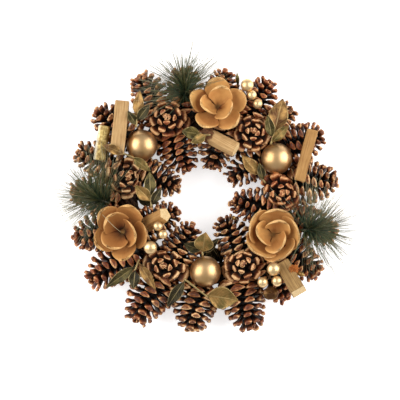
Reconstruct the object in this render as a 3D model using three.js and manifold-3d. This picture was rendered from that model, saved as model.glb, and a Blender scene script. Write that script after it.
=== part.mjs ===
// Pinecone wreath: a ring of twisted vine that carries open pine cones outside, inside and on its face,
// with gold balls, wood-shaving flowers, cut sticks, pine needle picks, gold berries and gilded leaves.
// Millimetres, +Z up. The wreath lies on its back: the ring's flat underside is at z = 0, its face looks
// up, and +Y is the top of the wreath as it is seen from the front.
// Each piece is set down in the order in which the real one is glued on, and lowered until it rests.

import * as THREE from 'three';
import { mergeVertices } from 'three/addons/utils/BufferGeometryUtils.js';
import Module from 'manifold-3d';

const wasm = await Module();
wasm.setup();

// Driving dimensions
const RING_RADIUS = 88; // centre line of the vine ring
const VINE_RADIUS = 12; // the bundle of vines, without its strands' relief
const VINE_RELIEF = 1; // how far the strands stand out of it
const VINE_STRANDS = 3;
const VINE_TURNS = 7; // of the strands round the bundle, in one round of the ring
const VINE_FLAT = 3.8; // how much of its depth is pressed flat on the surface below
const VINE_STEPS = 42;
const VINE_SIDES = 10;
const OUTER_SEAT = 97; // radius at which the outer cones' stalks stand on the ring
const OUTER_HEIGHT = 19;
const INNER_SEAT = 79;
const INNER_HEIGHT = 21;
const FACE_HEIGHT = 26; // of the face cones' stalks, before they are seated
const GAP = 0.3; // between touching pieces
const BALL_RADIUS = 17.5;
const BLADE = 1; // thickness of leaves and petals
const WIRE_RADIUS = 0.8; // of the berry picks
const NEEDLE_LENGTH = 65;
const START_HEIGHT = 110; // from which pieces are lowered, and the furthest that they go
const LOWERING_STEP = 2;
const SEATING_ACCURACY = 0.1;

const GOLDEN_ANGLE = Math.PI * (3 - Math.sqrt(5));
const UP = new THREE.Vector3(0, 0, 1);

const finish = (color, roughness, metalness) =>
  new THREE.MeshStandardMaterial({ color, roughness, metalness });

const materials = {
  vine: finish(0x4a3425, 0.9, 0),
  cone: finish(0x6e4228, 0.6, 0),
  wood: finish(0xcfa56a, 0.75, 0),
  barkStick: finish(0xb89a4e, 0.5, 0.4),
  shaving: finish(0xc8914f, 0.8, 0),
  ball: finish(0xd0a24c, 0.25, 1),
  berry: finish(0xdcb970, 0.3, 1),
  leaf: finish(0x8f7434, 0.4, 0.7),
  needle: finish(0x3f5c45, 0.6, 0),
};

const radians = THREE.MathUtils.degToRad;

function seeded(seed) {
  let state = seed;
  return () => {
    state = (state + 0x6d2b79f5) | 0;
    let t = Math.imul(state ^ (state >>> 15), 1 | state);
    t = (t + Math.imul(t ^ (t >>> 7), 61 | t)) ^ t;
    return ((t ^ (t >>> 14)) >>> 0) / 4294967296;
  };
}

// Solids, for joining and for testing whether pieces meet

const SAME_POINT = 1e-4;
const SHARED_MM3 = 1e-4; // below this two solids only touch

function solidOf(geometry, matrix = new THREE.Matrix4()) {
  const bare = new THREE.BufferGeometry();
  bare.setAttribute('position', geometry.getAttribute('position').clone());
  if (geometry.index) bare.setIndex(geometry.index.clone());
  bare.applyMatrix4(matrix);
  const merged = mergeVertices(bare, SAME_POINT);
  return new wasm.Manifold(
    new wasm.Mesh({
      numProp: 3,
      vertProperties: new Float32Array(merged.attributes.position.array),
      triVerts: new Uint32Array(merged.index.array),
    }),
  );
}

function geometryOf(solid) {
  const mesh = solid.getMesh();
  const positions = new Float32Array(mesh.numVert * 3);
  for (let i = 0; i < mesh.numVert; i++) {
    positions.set(mesh.vertProperties.subarray(i * mesh.numProp, i * mesh.numProp + 3), i * 3);
  }
  const geometry = new THREE.BufferGeometry();
  geometry.setAttribute('position', new THREE.BufferAttribute(positions, 3));
  geometry.setIndex(new THREE.BufferAttribute(new Uint32Array(mesh.triVerts), 1));
  return geometry;
}

const fuse = (geometries) => geometryOf(geometries.map((g) => solidOf(g)).reduce((a, b) => a.add(b)));

function fromTriangles(points, triangles) {
  const geometry = new THREE.BufferGeometry().setFromPoints(points);
  geometry.setIndex(triangles.flat());
  return geometry;
}

function withBox(solid) {
  const { min, max } = solid.boundingBox();
  return { solid, box: new THREE.Box3(new THREE.Vector3(...min), new THREE.Vector3(...max)) };
}

function meets(probe, others) {
  const near = others.filter((other) => probe.box.intersectsBox(other.box));
  return near.some((other) => probe.solid.intersect(other.solid).volume() > SHARED_MM3);
}

const NUDGES = [
  [0, 0, 0],
  [GAP, 0, 0],
  [-GAP, 0, 0],
  [0, GAP, 0],
  [0, -GAP, 0],
  [0, 0, -GAP],
  [0, 0, GAP],
].map((v) => new THREE.Vector3(...v));

// Whether a piece, moved by the gap to any side, still meets none of the others.
function isClear(geometry, matrix, others) {
  return NUDGES.every((nudge) => {
    const moved = new THREE.Matrix4().makeTranslation(nudge).multiply(matrix);
    return !meets(withBox(solidOf(geometry, moved)), others);
  });
}

// The pieces that are already in place. The surface below is one of them while the wreath is put together,
// and all but the ring stay a little above it.
const FLOOR_CLEARANCE = 0.6;
const floorSlab = new THREE.BoxGeometry(600, 600, 20).translate(0, 0, FLOOR_CLEARANCE - 10);
const placed = [withBox(solidOf(floorSlab))];

const wreath = new THREE.Group();

function matrixAt(position, quaternion) {
  return new THREE.Matrix4().compose(position, quaternion, new THREE.Vector3(1, 1, 1));
}

const ORIGIN = new THREE.Vector3();
const UNTURNED = new THREE.Quaternion();

function addPiece(name, geometry, material, position = ORIGIN, quaternion = UNTURNED) {
  const mesh = new THREE.Mesh(geometry, material);
  mesh.name = name;
  mesh.position.copy(position);
  mesh.quaternion.copy(quaternion);
  wreath.add(mesh);
  placed.push(withBox(solidOf(geometry, matrixAt(position, quaternion))));
}

// Moves a piece from where it is clear, along a direction, until it rests on one of the others.
function settle(geometry, start, quaternion, others, direction = new THREE.Vector3(0, 0, -1)) {
  const at = (travel) => start.clone().addScaledVector(direction, travel);
  const clearAt = (travel) => isClear(geometry, matrixAt(at(travel), quaternion), others);
  let free = 0;
  let stuck = LOWERING_STEP;
  while (clearAt(stuck) && stuck < START_HEIGHT) {
    free = stuck;
    stuck += LOWERING_STEP;
  }
  while (stuck - free > SEATING_ACCURACY) {
    const middle = (free + stuck) / 2;
    if (clearAt(middle)) free = middle;
    else stuck = middle;
  }
  return at(free);
}

// Local +Z turned to an aim, after a roll about it.
function aimed(aim, rollDegrees = 0) {
  const turn = new THREE.Quaternion().setFromUnitVectors(UP, new THREE.Vector3(...aim).normalize());
  return turn.multiply(new THREE.Quaternion().setFromAxisAngle(UP, radians(rollDegrees)));
}

// Local +X laid along a bearing in the plane of the wreath, with its far end raised by a pitch.
function laid(bearingDegrees, pitchDegrees = 0) {
  const euler = new THREE.Euler(0, -radians(pitchDegrees), radians(bearingDegrees), 'ZYX');
  return new THREE.Quaternion().setFromEuler(euler);
}

// The vine ring: a bundle of strands twisted round a circle, with its underside pressed flat.

function vineRing() {
  const steps = VINE_STEPS;
  const sides = VINE_SIDES;
  const points = [];
  const triangles = [];
  for (let i = 0; i < steps; i++) {
    const bearing = (i / steps) * 2 * Math.PI;
    for (let j = 0; j < sides; j++) {
      const angle = ((j + 0.5) / sides) * 2 * Math.PI;
      const radius = VINE_RADIUS + VINE_RELIEF * Math.cos(VINE_STRANDS * angle - VINE_TURNS * bearing);
      const out = RING_RADIUS + radius * Math.cos(angle);
      const height = Math.max(0, VINE_RADIUS - VINE_FLAT + radius * Math.sin(angle));
      points.push(new THREE.Vector3(out * Math.cos(bearing), out * Math.sin(bearing), height));
    }
  }
  for (let i = 0; i < steps; i++) {
    for (let j = 0; j < sides; j++) {
      const [here, there] = [i * sides, ((i + 1) % steps) * sides];
      const next = (j + 1) % sides;
      triangles.push([here + j, there + j, there + next], [here + j, there + next, here + next]);
    }
  }
  return fromTriangles(points, triangles);
}

// Open pine cones. A cone's frame has its stalk at the origin and its tip along +Z.
// Its core is a lattice of corners on the golden angle, and every four corners k, k + 3, k + 5 and k + 8
// bound the foot of one scale, so that the scales cover the core and nothing is hidden in it.

const LOWER_SPIRAL = 3;
const UPPER_SPIRAL = 5;

// Shares of the cone's radius
const CORE_RADIUS = 0.25;
const SCALE_HALF_WIDTH = 0.36;
const SCALE_THICKNESS = 0.19;
const TAPER = 0.55; // of the core and of the scales, from base to tip
const SMALLEST = 0.4; // size of a scale with no reach left, as a share of a full one

// Shares of the cone's length
const CORE_FOOT = 0.08; // height of the core's lowest corner
const CORE_SPAN = 0.74; // from there to its highest corner
const CROWN = 0.86; // height of the core's closing point
const LOWEST_LIP = 0.07;
const LIP_SPAN = 0.9;

function coneCorner(cone, index) {
  const share = index / (cone.scales + LOWER_SPIRAL + UPPER_SPIRAL - 1);
  const angle = index * GOLDEN_ANGLE;
  const radius = cone.radius * CORE_RADIUS * (1 - TAPER * share * share);
  return new THREE.Vector3(
    radius * Math.cos(angle),
    radius * Math.sin(angle),
    cone.length * (CORE_FOOT + CORE_SPAN * share),
  );
}

const footOf = (k) => [k, k + LOWER_SPIRAL, k + LOWER_SPIRAL + UPPER_SPIRAL, k + UPPER_SPIRAL];

// How far the scales spread at a share of the way from the cone's base to its tip: widest near the base,
// a little narrower below that, and closing along a cosine above it, up to the cone's tip angle.
const WIDEST = 0.25;
const BASE_NARROWING = 3.2;
const BLUNT_TIP = 1.12; // radians, for the cones seen from the side
const CLOSED_TIP = 1.33;

function spreadAt(share, tipAngle) {
  if (share < WIDEST) return 1 - BASE_NARROWING * (WIDEST - share) ** 2;
  return Math.cos(((share - WIDEST) / (1 - WIDEST)) * tipAngle);
}

// The lip of scale k: left, right and middle of its upper edge, and the keel under it. Each point has a
// place out along the scale, in shares of its size, and a rise above it, in shares of its thickness.
const LIP_SIDE = { out: -0.09, rise: 0.3 };
const LIP_MIDDLE = { out: 0.02, rise: 0.55 };
const LIP_KEEL = { out: -0.03, rise: -0.85 };

function scaleLip(cone, k, reach, grow = 0) {
  const share = k / (cone.scales - 1);
  const corners = footOf(k).map((index) => coneCorner(cone, index));
  const root = corners.reduce((sum, c) => sum.add(c), new THREE.Vector3()).divideScalar(corners.length);
  const angle = Math.atan2(root.y, root.x);
  const radial = new THREE.Vector3(Math.cos(angle), Math.sin(angle), 0);
  const across = new THREE.Vector3(-Math.sin(angle), Math.cos(angle), 0);
  const tip = radial.clone().multiplyScalar(cone.radius * spreadAt(share, cone.tipAngle));
  tip.z = cone.length * (LOWEST_LIP + LIP_SPAN * share);
  const outward = tip.clone().sub(root);
  const length = outward.length();
  outward.normalize();
  const up = outward.clone().cross(across);
  const end = root.clone().addScaledVector(outward, length * reach + grow);
  const size = cone.radius * (1 - TAPER * share) * (SMALLEST + (1 - SMALLEST) * reach);
  const halfWidth = SCALE_HALF_WIDTH * size + grow;
  const thickness = SCALE_THICKNESS * size + grow;
  const at = ({ out, rise }, side) =>
    end
      .clone()
      .addScaledVector(outward, out * size)
      .addScaledVector(across, side)
      .addScaledVector(up, rise * thickness);
  return {
    left: at(LIP_SIDE, -halfWidth),
    right: at(LIP_SIDE, halfWidth),
    middle: at(LIP_MIDDLE, 0),
    keel: at(LIP_KEEL, 0),
  };
}

// Triangles of one scale, between its foot's four corners and its lip's four points.
function scaleFaces([below, rightFoot, above, leftFoot], { left, right, middle, keel }) {
  return [
    [rightFoot, above, right],
    [above, middle, right],
    [above, left, middle],
    [above, leftFoot, left],
    [leftFoot, below, keel],
    [leftFoot, keel, left],
    [below, rightFoot, right],
    [below, right, keel],
    [keel, right, middle],
    [keel, middle, left],
  ];
}

// A cone with each scale at its own reach, from 0 (flush with the core) to 1.
function coneGeometry(cone, reaches) {
  const count = cone.scales + LOWER_SPIRAL + UPPER_SPIRAL;
  const points = Array.from({ length: count }, (_, index) => coneCorner(cone, index));
  const triangles = [];
  const open = new Map(); // edges of feet that no other foot shares
  for (let k = 0; k < cone.scales; k++) {
    const foot = footOf(k);
    foot.forEach((from, i) => {
      const to = foot[(i + 1) % 4];
      if (!open.delete(to + '>' + from)) open.set(from + '>' + to, [from, to]);
    });
    if (reaches[k] > 0) {
      const lip = scaleLip(cone, k, reaches[k]);
      const first = points.length;
      points.push(lip.left, lip.right, lip.middle, lip.keel);
      const ends = { left: first, right: first + 1, middle: first + 2, keel: first + 3 };
      triangles.push(...scaleFaces(foot, ends));
    } else {
      triangles.push([foot[0], foot[1], foot[2]], [foot[0], foot[2], foot[3]]);
    }
  }
  const stalk = points.push(new THREE.Vector3(0, 0, 0)) - 1;
  const crown = points.push(new THREE.Vector3(0, 0, cone.length * CROWN)) - 1;
  for (const [from, to] of open.values()) {
    triangles.push([to, from, Math.max(from, to) < count / 2 ? stalk : crown]);
  }
  return fromTriangles(points, triangles);
}

// One scale as a closed probe, a little larger than the scale itself.
function scaleProbe(cone, k, reach, matrix) {
  const corners = footOf(k).map((index) => coneCorner(cone, index));
  const lip = scaleLip(cone, k, reach, GAP);
  const points = [...corners, lip.left, lip.right, lip.middle, lip.keel];
  const triangles = scaleFaces([0, 1, 2, 3], { left: 4, right: 5, middle: 6, keel: 7 });
  triangles.push([0, 3, 2], [0, 2, 1]);
  return withBox(solidOf(fromTriangles(points, triangles), matrix));
}

const SEATING_RUN = 14; // from where the stalk starts, out from its seat

// Seats a cone's stalk on the ring, along its own axis, clear of the stalks seated before it.
function seatCone(cone, cores) {
  const geometry = coneGeometry(cone, new Array(cone.scales).fill(0));
  const back = new THREE.Vector3(...cone.aim).normalize().negate();
  const quaternion = aimed(cone.aim, cone.roll);
  const start = new THREE.Vector3(...cone.at).addScaledVector(back, -SEATING_RUN);
  const position = settle(geometry, start, quaternion, [...placed, ...cores], back);
  const core = withBox(solidOf(geometry, matrixAt(position, quaternion)));
  return { ...cone, position, quaternion, core };
}

const REACHES = [1, 0.9, 0.8, 0.7, 0.6, 0.5, 0.4, 0.3];
const UNEVENNESS = 0.1; // of the scales' reach

// Gives each scale of a seated cone the longest reach that is clear of its neighbours.
function growCone(cone, cores) {
  const matrix = matrixAt(cone.position, cone.quaternion);
  const range = new THREE.Box3(
    new THREE.Vector3(-cone.radius - 2, -cone.radius - 2, -2),
    new THREE.Vector3(cone.radius + 2, cone.radius + 2, cone.length + 2),
  ).applyMatrix4(matrix);
  const rest = [...placed, ...cores].filter((other) => other !== cone.core);
  const others = rest.filter((other) => other.box.intersectsBox(range));
  const random = seeded(cone.seed);
  const reaches = Array.from({ length: cone.scales }, (_, k) => {
    const wish = 1 - UNEVENNESS * random();
    const found = REACHES.find((reach) => !meets(scaleProbe(cone, k, reach * wish, matrix), others));
    return found ? found * wish : 0;
  });
  addPiece(cone.name, coneGeometry(cone, reaches), materials.cone, cone.position, cone.quaternion);
}

// Outer cones: bearing from +X, how far out the tip reaches, and the cone's radius.
const outerCones = [
  [7.7, 157, 26],
  [29, 157, 26],
  [46, 148, 22.5],
  [61, 157, 25],
  [81, 150, 24],
  [100, 156, 25],
  [118.4, 162, 26],
  [141.5, 165, 26],
  [160.5, 161, 25],
  [178, 157, 24],
  [198, 163, 26],
  [216.5, 169, 27],
  [240.6, 168, 28],
  [264.4, 158, 29],
  [290, 165, 28],
  [309.5, 157, 25],
  [326, 161, 25],
  [344.5, 161, 25],
].map(([bearing, reach, radius], i) => {
  const out = new THREE.Vector2(1, 0).rotateAround(new THREE.Vector2(), radians(bearing));
  return {
    name: `cone_outer_${String(i + 1).padStart(2, '0')}`,
    at: [out.x * OUTER_SEAT, out.y * OUTER_SEAT, OUTER_HEIGHT],
    aim: [out.x, out.y, 0.16],
    roll: 77 * i,
    seed: 100 + i,
    length: reach - OUTER_SEAT,
    radius,
    tipAngle: BLUNT_TIP,
    scales: 32,
  };
});

// Inner cones: bearing from +X, how near the middle of the hole the tip comes, and the cone's radius.
const innerCones = [
  [35, 21, 22],
  [77, 21, 24],
  [120, 26, 24],
  [160, 23, 22],
  [205.9, 27, 22],
  [246, 26, 24],
  [305, 23, 24],
  [350, 21, 23],
].map(([bearing, reach, radius], i) => {
  const out = new THREE.Vector2(1, 0).rotateAround(new THREE.Vector2(), radians(bearing));
  return {
    name: `cone_inner_${i + 1}`,
    at: [out.x * INNER_SEAT, out.y * INNER_SEAT, INNER_HEIGHT],
    aim: [-out.x, -out.y, i % 2 ? 0.2 : 0],
    roll: 61 * i,
    seed: 200 + i,
    length: INNER_SEAT - reach,
    radius,
    tipAngle: BLUNT_TIP,
    scales: 28,
  };
});

// Face cones, seen on their tips: where the stalk stands, which way the tip leans, length and radius.
const faceCones = [
  ['upper_left', -43, 88, [0.02, 0.03], 42, 27],
  ['upper_right', 52, 70, [0.06, 0.12], 42, 25],
  ['right', 85, 7, [0.02, -0.1], 41, 25.5],
  ['left', -94, 24, [0.3, -0.06], 42, 26.5],
  ['lower_left', -43.5, -79, [-0.08, 0.08], 43, 28],
  ['lower_right', 46, -78, [-0.12, 0.12], 42, 27],
].map(([where, x, y, lean, length, radius], i) => ({
  name: `cone_face_${where}`,
  at: [x, y, FACE_HEIGHT],
  aim: [lean[0], lean[1], 1],
  roll: 40 + 53 * i,
  seed: 300 + i,
  length,
  radius,
  tipAngle: CLOSED_TIP,
  scales: 34,
}));

// Gold balls, each with the neck of its cap on the ring.

function ballGeometry() {
  const ball = new THREE.IcosahedronGeometry(BALL_RADIUS, 2);
  const neck = new THREE.CylinderGeometry(3.5, 3.5, 3, 8).rotateX(Math.PI / 2);
  return fuse([ball, neck.translate(0, 0, -BALL_RADIUS - 0.6)]);
}

const balls = [
  ['upper_left', -70.6, 57.9],
  ['upper_right', 80.3, 43],
  ['bottom', 0.3, -83.8],
];

// Cut sticks. A stick's frame has its middle at the origin and its length along X. Its pitch raises the end
// that its bearing points at.

function stickGeometry({ length, width, height, sides }) {
  const outline = new THREE.Shape();
  for (let i = 0; i < sides; i++) {
    const angle = ((i + 0.5) / sides) * 2 * Math.PI;
    const flat = Math.cos(Math.PI / sides);
    const x = (height / 2 / flat) * Math.cos(angle);
    const y = (width / 2 / flat) * Math.sin(angle);
    if (i) outline.lineTo(x, y);
    else outline.moveTo(x, y);
  }
  outline.closePath();
  const bar = new THREE.ExtrudeGeometry(outline, { depth: length, bevelEnabled: false, steps: 1 });
  return bar.translate(0, 0, -length / 2).rotateY(Math.PI / 2);
}

const sticks = [
  { name: 'left_slat', at: [-95, 77.3], bearing: 84.5, length: 60, width: 16, height: 10, sides: 4 },
  { name: 'left_bark', at: [-115, 60], bearing: 81.6, length: 39, width: 13, height: 11, sides: 7 },
  { name: 'top', at: [16, 62], bearing: -29, pitch: 16, length: 43, width: 16, height: 14, sides: 6 },
  { name: 'right_slat', at: [112.5, 46.4], bearing: 75.5, length: 59, width: 12.5, height: 9, sides: 4 },
  { name: 'bottom_right', at: [95, -90], bearing: -60, pitch: 32, length: 40, width: 17, height: 15, sides: 4 },
  { name: 'inner_left', at: [-54.5, -25], bearing: 30, pitch: 46, length: 34, width: 15, height: 14, sides: 5 },
];

// Thin closed blades, for petals and leaves: point(side, along) gives the middle surface,
// with side from -1 to 1 and along from 0 to 1. Both faces are split into triangles alike.

function blade(across, steps, thickness, point) {
  const columns = across + 1;
  const middle = [];
  for (let i = 0; i <= steps; i++) {
    for (let j = 0; j <= across; j++) {
      const side = (2 * j) / across - 1;
      const along = i / steps;
      const small = 0.01;
      const dSide = point(side + small, along).sub(point(side - small, along));
      const dAlong = point(side, along + small).sub(point(side, along - small));
      middle.push({ at: point(side, along), normal: dAlong.cross(dSide).normalize() });
    }
  }
  const count = middle.length;
  const points = [
    ...middle.map(({ at, normal }) => at.clone().addScaledVector(normal, thickness / 2)),
    ...middle.map(({ at, normal }) => at.clone().addScaledVector(normal, -thickness / 2)),
  ];
  const triangles = [];
  for (let i = 0; i < steps; i++) {
    for (let j = 0; j < across; j++) {
      const a = i * columns + j;
      const [b, c, d] = [a + 1, a + columns + 1, a + columns];
      const halves = j < across / 2 ? [[a, b, d], [b, c, d]] : [[a, b, c], [a, c, d]];
      for (const [p, q, r] of halves) {
        triangles.push([p, r, q], [p + count, q + count, r + count]);
      }
    }
  }
  const rim = [];
  for (let j = 0; j < across; j++) rim.push(j);
  for (let i = 0; i < steps; i++) rim.push(i * columns + across);
  for (let j = across; j > 0; j--) rim.push(steps * columns + j);
  for (let i = steps; i > 0; i--) rim.push(i * columns);
  rim.forEach((from, i) => {
    const to = rim[(i + 1) % rim.length];
    triangles.push([from, to, to + count], [from, to + count, from + count]);
  });
  return fromTriangles(points, triangles);
}

// Wood-shaving flowers: an outer and an inner whorl of petals on a short peg.
// A whorl's petals lie on a bowl whose side starts at one slope and ends at a steeper one. Each petal leans
// in at one edge and out at the other, so that it passes over its neighbour as in a pinwheel.

const PETAL_ROOT = 3; // radius at which the petals start
const WHORL_STEP = 3.5; // from the outer whorl up to the inner one
const ROUNDED_FROM = 0.5; // share of a petal's length from which its sides round in
const ROUNDING_RUN = 0.57;
const OPENING_FROM = 0.3; // share from which it grows wider than its wedge of the whorl
const FOOT_FILL = 0.92; // of that wedge
const SIDES_SHORTER = 0.13; // than the middle

function petalGeometry({ length, slopes, count, spread, lean }, across) {
  const [foot, rim] = slopes.map(radians);
  const bend = rim - foot;
  const wedge = Math.PI / count;
  const point = (side, along) => {
    const rounding = Math.sqrt(1 - (Math.max(0, along - ROUNDED_FROM) / ROUNDING_RUN) ** 2);
    const opening = Math.max(0, along - OPENING_FROM) * (radians(spread) - wedge) * 2;
    const angle = side * (FOOT_FILL * wedge + opening) * rounding;
    const reach = along * (1 - SIDES_SHORTER * side * side);
    const slope = foot + bend * reach;
    const out = (length * (Math.sin(slope) - Math.sin(foot))) / bend;
    const climb = (length * (Math.cos(foot) - Math.cos(slope))) / bend;
    const inward = lean * side * along;
    const radius = PETAL_ROOT + out - inward * Math.sin(slope);
    return new THREE.Vector3(
      radius * Math.cos(angle),
      radius * Math.sin(angle),
      climb + inward * Math.cos(slope),
    );
  };
  return blade(across, 3, BLADE, point);
}

function flowerGeometry({ outer, inner }) {
  const seat = new THREE.CylinderGeometry(4.6, 4, 7, 7).rotateX(Math.PI / 2).translate(0, 0, 1.5);
  const peg = new THREE.CylinderGeometry(2.5, 2, 7, 5).rotateX(Math.PI / 2).translate(0, 0, -5);
  const parts = [seat, peg];
  for (let i = 0; i < outer.count; i++) {
    parts.push(petalGeometry(outer, 3).rotateZ((i / outer.count) * 2 * Math.PI));
  }
  for (let i = 0; i < inner.count; i++) {
    const turn = ((i + 0.5) / inner.count) * 2 * Math.PI;
    parts.push(petalGeometry(inner, 4).rotateZ(turn).translate(0, 0, WHORL_STEP));
  }
  return fuse(parts);
}

const openBloom = {
  outer: { length: 33, slopes: [6, 44], count: 5, spread: 45, lean: 1.6 },
  inner: { length: 26, slopes: [22, 72], count: 3, spread: 68, lean: 1.6 },
};
const cuppedBloom = {
  outer: { length: 33, slopes: [10, 62], count: 5, spread: 50, lean: 1.6 },
  inner: { length: 25, slopes: [20, 78], count: 3, spread: 72, lean: 1.6 },
};
const flowers = [
  { name: 'flower_top', at: [14, 99], aim: [0.02, 0.34, 1], roll: 20, ...openBloom },
  { name: 'flower_left', at: [-91, -38], aim: [-0.28, -0.05, 1], roll: 64, ...openBloom },
  { name: 'flower_right', at: [75.8, -42], aim: [0, 0, 1], roll: 10, ...cuppedBloom },
];

// Gilded leaves. Each leaf starts at its stem, and several on one stem are one sprig.
// A leaf has a short stalk, is folded up along its midrib, bends down to its tip, and its sides wave.

const STALK_SHARE = 0.1; // of the leaf's length
const STALK_HALF_WIDTH = 0.5;
const FULLNESS = 0.85; // below 1 the leaf is widest nearer its stalk
const LEAF_FOLD = 0.25;
const LEAF_BEND = 0.12;
const LEAF_WAVE = 0.8;
const LEAF_WAVES = 7;

function leafGeometry({ length, halfWidth }) {
  const full = (1 - STALK_SHARE) ** FULLNESS;
  return blade(2, 4, BLADE, (side, along) => {
    const grown = THREE.MathUtils.clamp(along - STALK_SHARE, 0, 1 - STALK_SHARE) ** FULLNESS;
    const width = STALK_HALF_WIDTH + halfWidth * Math.sin((Math.PI * grown) / full);
    const fold = LEAF_FOLD * width * Math.abs(side);
    const bend = LEAF_BEND * length * along * along;
    const wave = LEAF_WAVE * side * Math.sin(LEAF_WAVES * along);
    return new THREE.Vector3(length * along, side * width, fold - bend + wave);
  });
}

// A sprig: leaves with their own bearing, pitch and start along a short stem.
function sprigGeometry({ leaves, stem }) {
  const bar = new THREE.CylinderGeometry(0.9, 1.3, stem.length, 5).rotateZ(-Math.PI / 2);
  bar.applyQuaternion(laid(stem.bearing, stem.pitch));
  const parts = [bar];
  for (const leaf of leaves) {
    const blades = leafGeometry(leaf);
    blades.applyQuaternion(laid(leaf.bearing, leaf.pitch));
    const start = new THREE.Vector3(leaf.from, 0, 0).applyQuaternion(laid(stem.bearing, stem.pitch));
    parts.push(blades.translate(start.x, start.y, start.z));
  }
  return fuse(parts);
}

const sprigs = [
  {
    name: 'leaves_upper_right',
    at: [75, 65],
    stem: { bearing: 76, pitch: 8, length: 14 },
    leaves: [
      { bearing: 75, length: 41, halfWidth: 10.5, from: 5, pitch: 4 },
      { bearing: 102, length: 27, halfWidth: 5, from: 0, pitch: 20 },
      { bearing: 46, length: 27, halfWidth: 5, from: -5, pitch: 18 },
    ],
  },
  {
    name: 'leaves_upper_inner',
    at: [64, 20],
    stem: { bearing: 130, pitch: 6, length: 12 },
    leaves: [
      { bearing: 130, length: 31, halfWidth: 6.5, from: 4, pitch: 4 },
      { bearing: 104, length: 20, halfWidth: 4, from: -2, pitch: 20 },
    ],
  },
  {
    name: 'leaves_top',
    at: [0, 69],
    stem: { bearing: 178, pitch: 6, length: 12 },
    leaves: [
      { bearing: 170, length: 22, halfWidth: 6.5, from: 4, pitch: 4 },
      { bearing: 208, length: 20, halfWidth: 5, from: -2, pitch: 20 },
    ],
  },
  {
    name: 'leaves_upper_left',
    at: [-76, 84],
    stem: { bearing: 86, pitch: 8, length: 14 },
    leaves: [
      { bearing: 84, length: 31, halfWidth: 5.5, from: 3, pitch: 4 },
      { bearing: 52, length: 24, halfWidth: 5, from: 0, pitch: 18 },
      { bearing: 122, length: 18, halfWidth: 4.5, from: -4, pitch: 20 },
    ],
  },
  {
    name: 'leaves_left',
    at: [-85, 46],
    stem: { bearing: 156, pitch: 4, length: 12 },
    leaves: [
      { bearing: 158, length: 26, halfWidth: 5, from: 4, pitch: 4 },
      { bearing: -37, length: 26, halfWidth: 5, from: -4, pitch: 14 },
    ],
  },
  {
    name: 'leaves_left_inner',
    at: [-60, -5],
    stem: { bearing: 95, pitch: 10, length: 14 },
    leaves: [
      { bearing: 92, length: 29, halfWidth: 6, from: 4, pitch: 4 },
      { bearing: 134, length: 25, halfWidth: 6.5, from: 0, pitch: 20 },
      { bearing: 60, length: 22, halfWidth: 4.5, from: -4, pitch: 18 },
    ],
  },
  {
    name: 'leaves_bottom_inner',
    at: [-3, -60],
    stem: { bearing: 95, pitch: 10, length: 13 },
    leaves: [
      { bearing: 82, length: 25, halfWidth: 10.5, from: -3, pitch: 26 },
      { bearing: 160, length: 22, halfWidth: 6, from: 0, pitch: 8 },
      { bearing: 44, length: 25, halfWidth: 4, from: -4, pitch: 8 },
    ],
  },
  {
    name: 'leaves_bottom',
    at: [-10, -101.5],
    stem: { bearing: -38, pitch: 0, length: 34 },
    leaves: [
      { bearing: -10, length: 38, halfWidth: 12, from: 12, pitch: 4 },
      { bearing: -124, length: 36, halfWidth: 6, from: -15, pitch: 5 },
    ],
  },
  {
    name: 'leaves_lower_left',
    at: [-76, -76],
    stem: { bearing: -110, pitch: 4, length: 14 },
    leaves: [
      { bearing: -144, length: 42, halfWidth: 5.5, from: 0, pitch: 2 },
      { bearing: -58, length: 36, halfWidth: 5, from: -4, pitch: 8 },
      { bearing: -96, length: 22, halfWidth: 6, from: 5, pitch: 16 },
    ],
  },
];

// Berry picks: beads on short wires that meet in one knot.

function wireGeometry(from, to) {
  const span = to.clone().sub(from);
  const wire = new THREE.CylinderGeometry(WIRE_RADIUS, WIRE_RADIUS, span.length(), 3);
  const along = new THREE.Vector3(0, 1, 0);
  wire.applyQuaternion(new THREE.Quaternion().setFromUnitVectors(along, span.normalize()));
  const middle = from.clone().add(to).divideScalar(2);
  return wire.translate(middle.x, middle.y, middle.z);
}

function berryGeometry({ beads, knot }) {
  const hub = new THREE.Vector3(...knot);
  const parts = [];
  for (const [x, y, z, radius] of beads) {
    const centre = new THREE.Vector3(x, y, z);
    parts.push(new THREE.IcosahedronGeometry(radius, 1).translate(x, y, z), wireGeometry(hub, centre));
  }
  return fuse(parts);
}

const berries = [
  {
    name: 'berries_upper_right',
    at: [52, 113.5],
    knot: [4.5, -1.5, -7],
    beads: [
      [-5, 11, 1, 7.2],
      [0, 0, 0, 5.6],
      [6.6, -9.8, 0, 5.4],
    ],
  },
  {
    name: 'berries_left',
    at: [-53, -43],
    knot: [1, -3.5, -6],
    beads: [
      [0.8, 10.5, 0, 5.3],
      [6.5, 1.6, 0, 5],
      [-7.3, -13, 0, 7.3],
    ],
  },
  {
    name: 'berries_lower_right',
    at: [73, -89],
    knot: [-1, -1, -7],
    beads: [
      [2.8, 9, 1, 7.4],
      [-9.2, -5.5, 0, 5.8],
      [6.6, -4.2, 0, 5.8],
    ],
  },
];

// Pine needle picks: a slim tapered stem whose facets are each drawn out into a needle.

const STEM_LENGTH = 22;
const STEM_ROWS = 11;
const STEM_SIDES = 7;
const STEM_RADIUS = 2.1;
const STEM_TAPER = 1.2; // how much slimmer it is at its tip
const STEM_FOOT = 3; // how far its pointed foot goes below the first row
const FLATTENING = 0.38; // of the fan, across the local X axis
const FIRST_LEAN = 2; // degrees, of the needles at the foot
const LEAN_GAIN = 60; // degrees, from foot to tip
const TIP_SHORTENING = 8.8; // of the needles at the tip

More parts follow.
